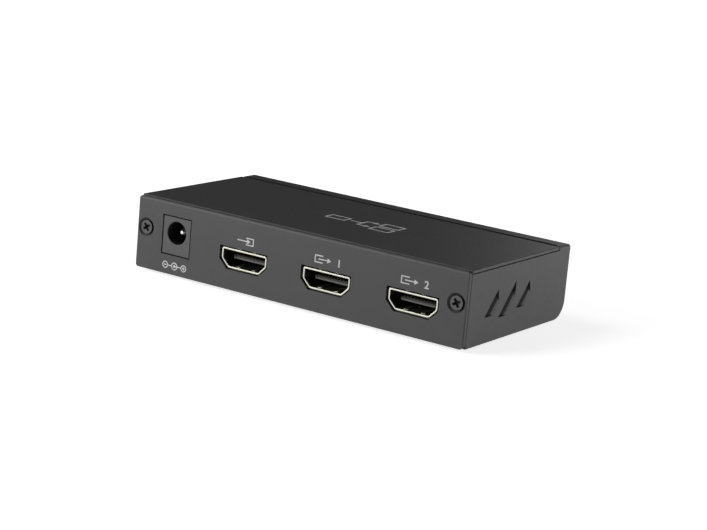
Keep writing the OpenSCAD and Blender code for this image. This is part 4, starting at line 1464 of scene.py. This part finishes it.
def make_floor():
    """A pale floor that is white to the eye and still takes the shadow."""
    deselect()
    bpy.ops.mesh.primitive_plane_add(size=FLOOR_SIZE)
    floor = settle("floor")
    material = bpy.data.materials.new("floor_paper")
    material.use_nodes = True
    tree = material.node_tree
    tree.nodes.remove(tree.nodes["Principled BSDF"])
    paper = tree.nodes.new("ShaderNodeBsdfDiffuse")
    paper.inputs["Color"].default_value = (0.9, 0.9, 0.9, 1)
    glow = tree.nodes.new("ShaderNodeEmission")
    both = tree.nodes.new("ShaderNodeAddShader")
    rays = tree.nodes.new("ShaderNodeLightPath")
    seen = rays.outputs["Is Camera Ray"]
    for ray in ("Is Glossy Ray", "Is Transmission Ray"):
        either = tree.nodes.new("ShaderNodeMath")
        either.operation = "MAXIMUM"
        tree.links.new(seen, either.inputs[0])
        tree.links.new(rays.outputs[ray], either.inputs[1])
        seen = either.outputs["Value"]
    place = tree.nodes.new("ShaderNodeTexCoord")
    distance = tree.nodes.new("ShaderNodeVectorMath")
    distance.operation = "LENGTH"
    tree.links.new(place.outputs["Object"], distance.inputs[0])
    fill = tree.nodes.new("ShaderNodeMapRange")
    fill.inputs["From Min"].default_value = DIM_REACH
    fill.inputs["From Max"].default_value = FULL_REACH
    fill.inputs["To Min"].default_value = DIM_GLOW
    fill.inputs["To Max"].default_value = 1.0
    tree.links.new(distance.outputs["Value"], fill.inputs["Value"])
    level = tree.nodes.new("ShaderNodeMath")
    level.operation = "MULTIPLY"
    tree.links.new(fill.outputs["Result"], level.inputs[1])
    tree.links.new(seen, level.inputs[0])
    tree.links.new(level.outputs["Value"], glow.inputs["Strength"])
    tree.links.new(paper.outputs["BSDF"], both.inputs[0])
    tree.links.new(glow.outputs["Emission"], both.inputs[1])
    tree.links.new(both.outputs["Shader"], tree.nodes["Material Output"].inputs["Surface"])
    floor.data.materials.append(material)


def make_world():
    """A dim room."""
    world = bpy.data.worlds.new("studio")
    bpy.context.scene.world = world
    world.use_nodes = True
    sky = world.node_tree.nodes["Background"]
    sky.inputs["Color"].default_value = (1, 1, 1, 1)
    sky.inputs["Strength"].default_value = ROOM_LIGHT


def add_lamp(name, place, size, power):
    """A soft box that faces the object."""
    deselect()
    aim = LAMP_AIM - Vector(place)
    bpy.ops.object.light_add(type="AREA", location=place, rotation=aim.to_track_quat("-Z", "Y").to_euler())
    lamp = bpy.context.object
    lamp.name = name
    lamp.data.shape = "DISK"
    lamp.data.size = size
    lamp.data.energy = power


def make_camera():
    """The photograph's view: turned to the right end, looking down a little, rolled a little."""
    azimuth = math.radians(CAMERA_AZIMUTH)
    elevation = math.radians(CAMERA_ELEVATION)
    roll = math.radians(CAMERA_ROLL)
    right = Vector((math.cos(azimuth), math.sin(azimuth), 0))
    back = Vector((math.sin(azimuth) * math.cos(elevation), -math.cos(azimuth) * math.cos(elevation),
                   math.sin(elevation)))
    up = back.cross(right)
    rolled_right = right * math.cos(roll) + up * math.sin(roll)
    rolled_up = up * math.cos(roll) - right * math.sin(roll)
    turn = Matrix((rolled_right, rolled_up, back)).transposed()
    deselect()
    bpy.ops.object.camera_add(location=CAMERA_PLACE, rotation=turn.to_euler())
    camera = bpy.context.object
    camera.data.sensor_width = SENSOR_W
    camera.data.lens = FOCAL_LENGTH
    camera.data.clip_start = 0.01
    bpy.context.scene.camera = camera


make_floor()
make_world()
add_lamp("front_left_softbox", (-0.45, -0.60, 0.24), 0.55, 4.4)
add_lamp("right_rear_softbox", (0.43, 0.36, 0.10), 0.3, 1.22)
add_lamp("upper_left_softbox", (-0.42, -0.18, 0.62), 0.4, 1.0)
add_lamp("rear_softbox", (-0.12, 0.68, 0.19), 0.35, 0.32)
make_camera()
bpy.context.scene.view_settings.view_transform = "Standard"
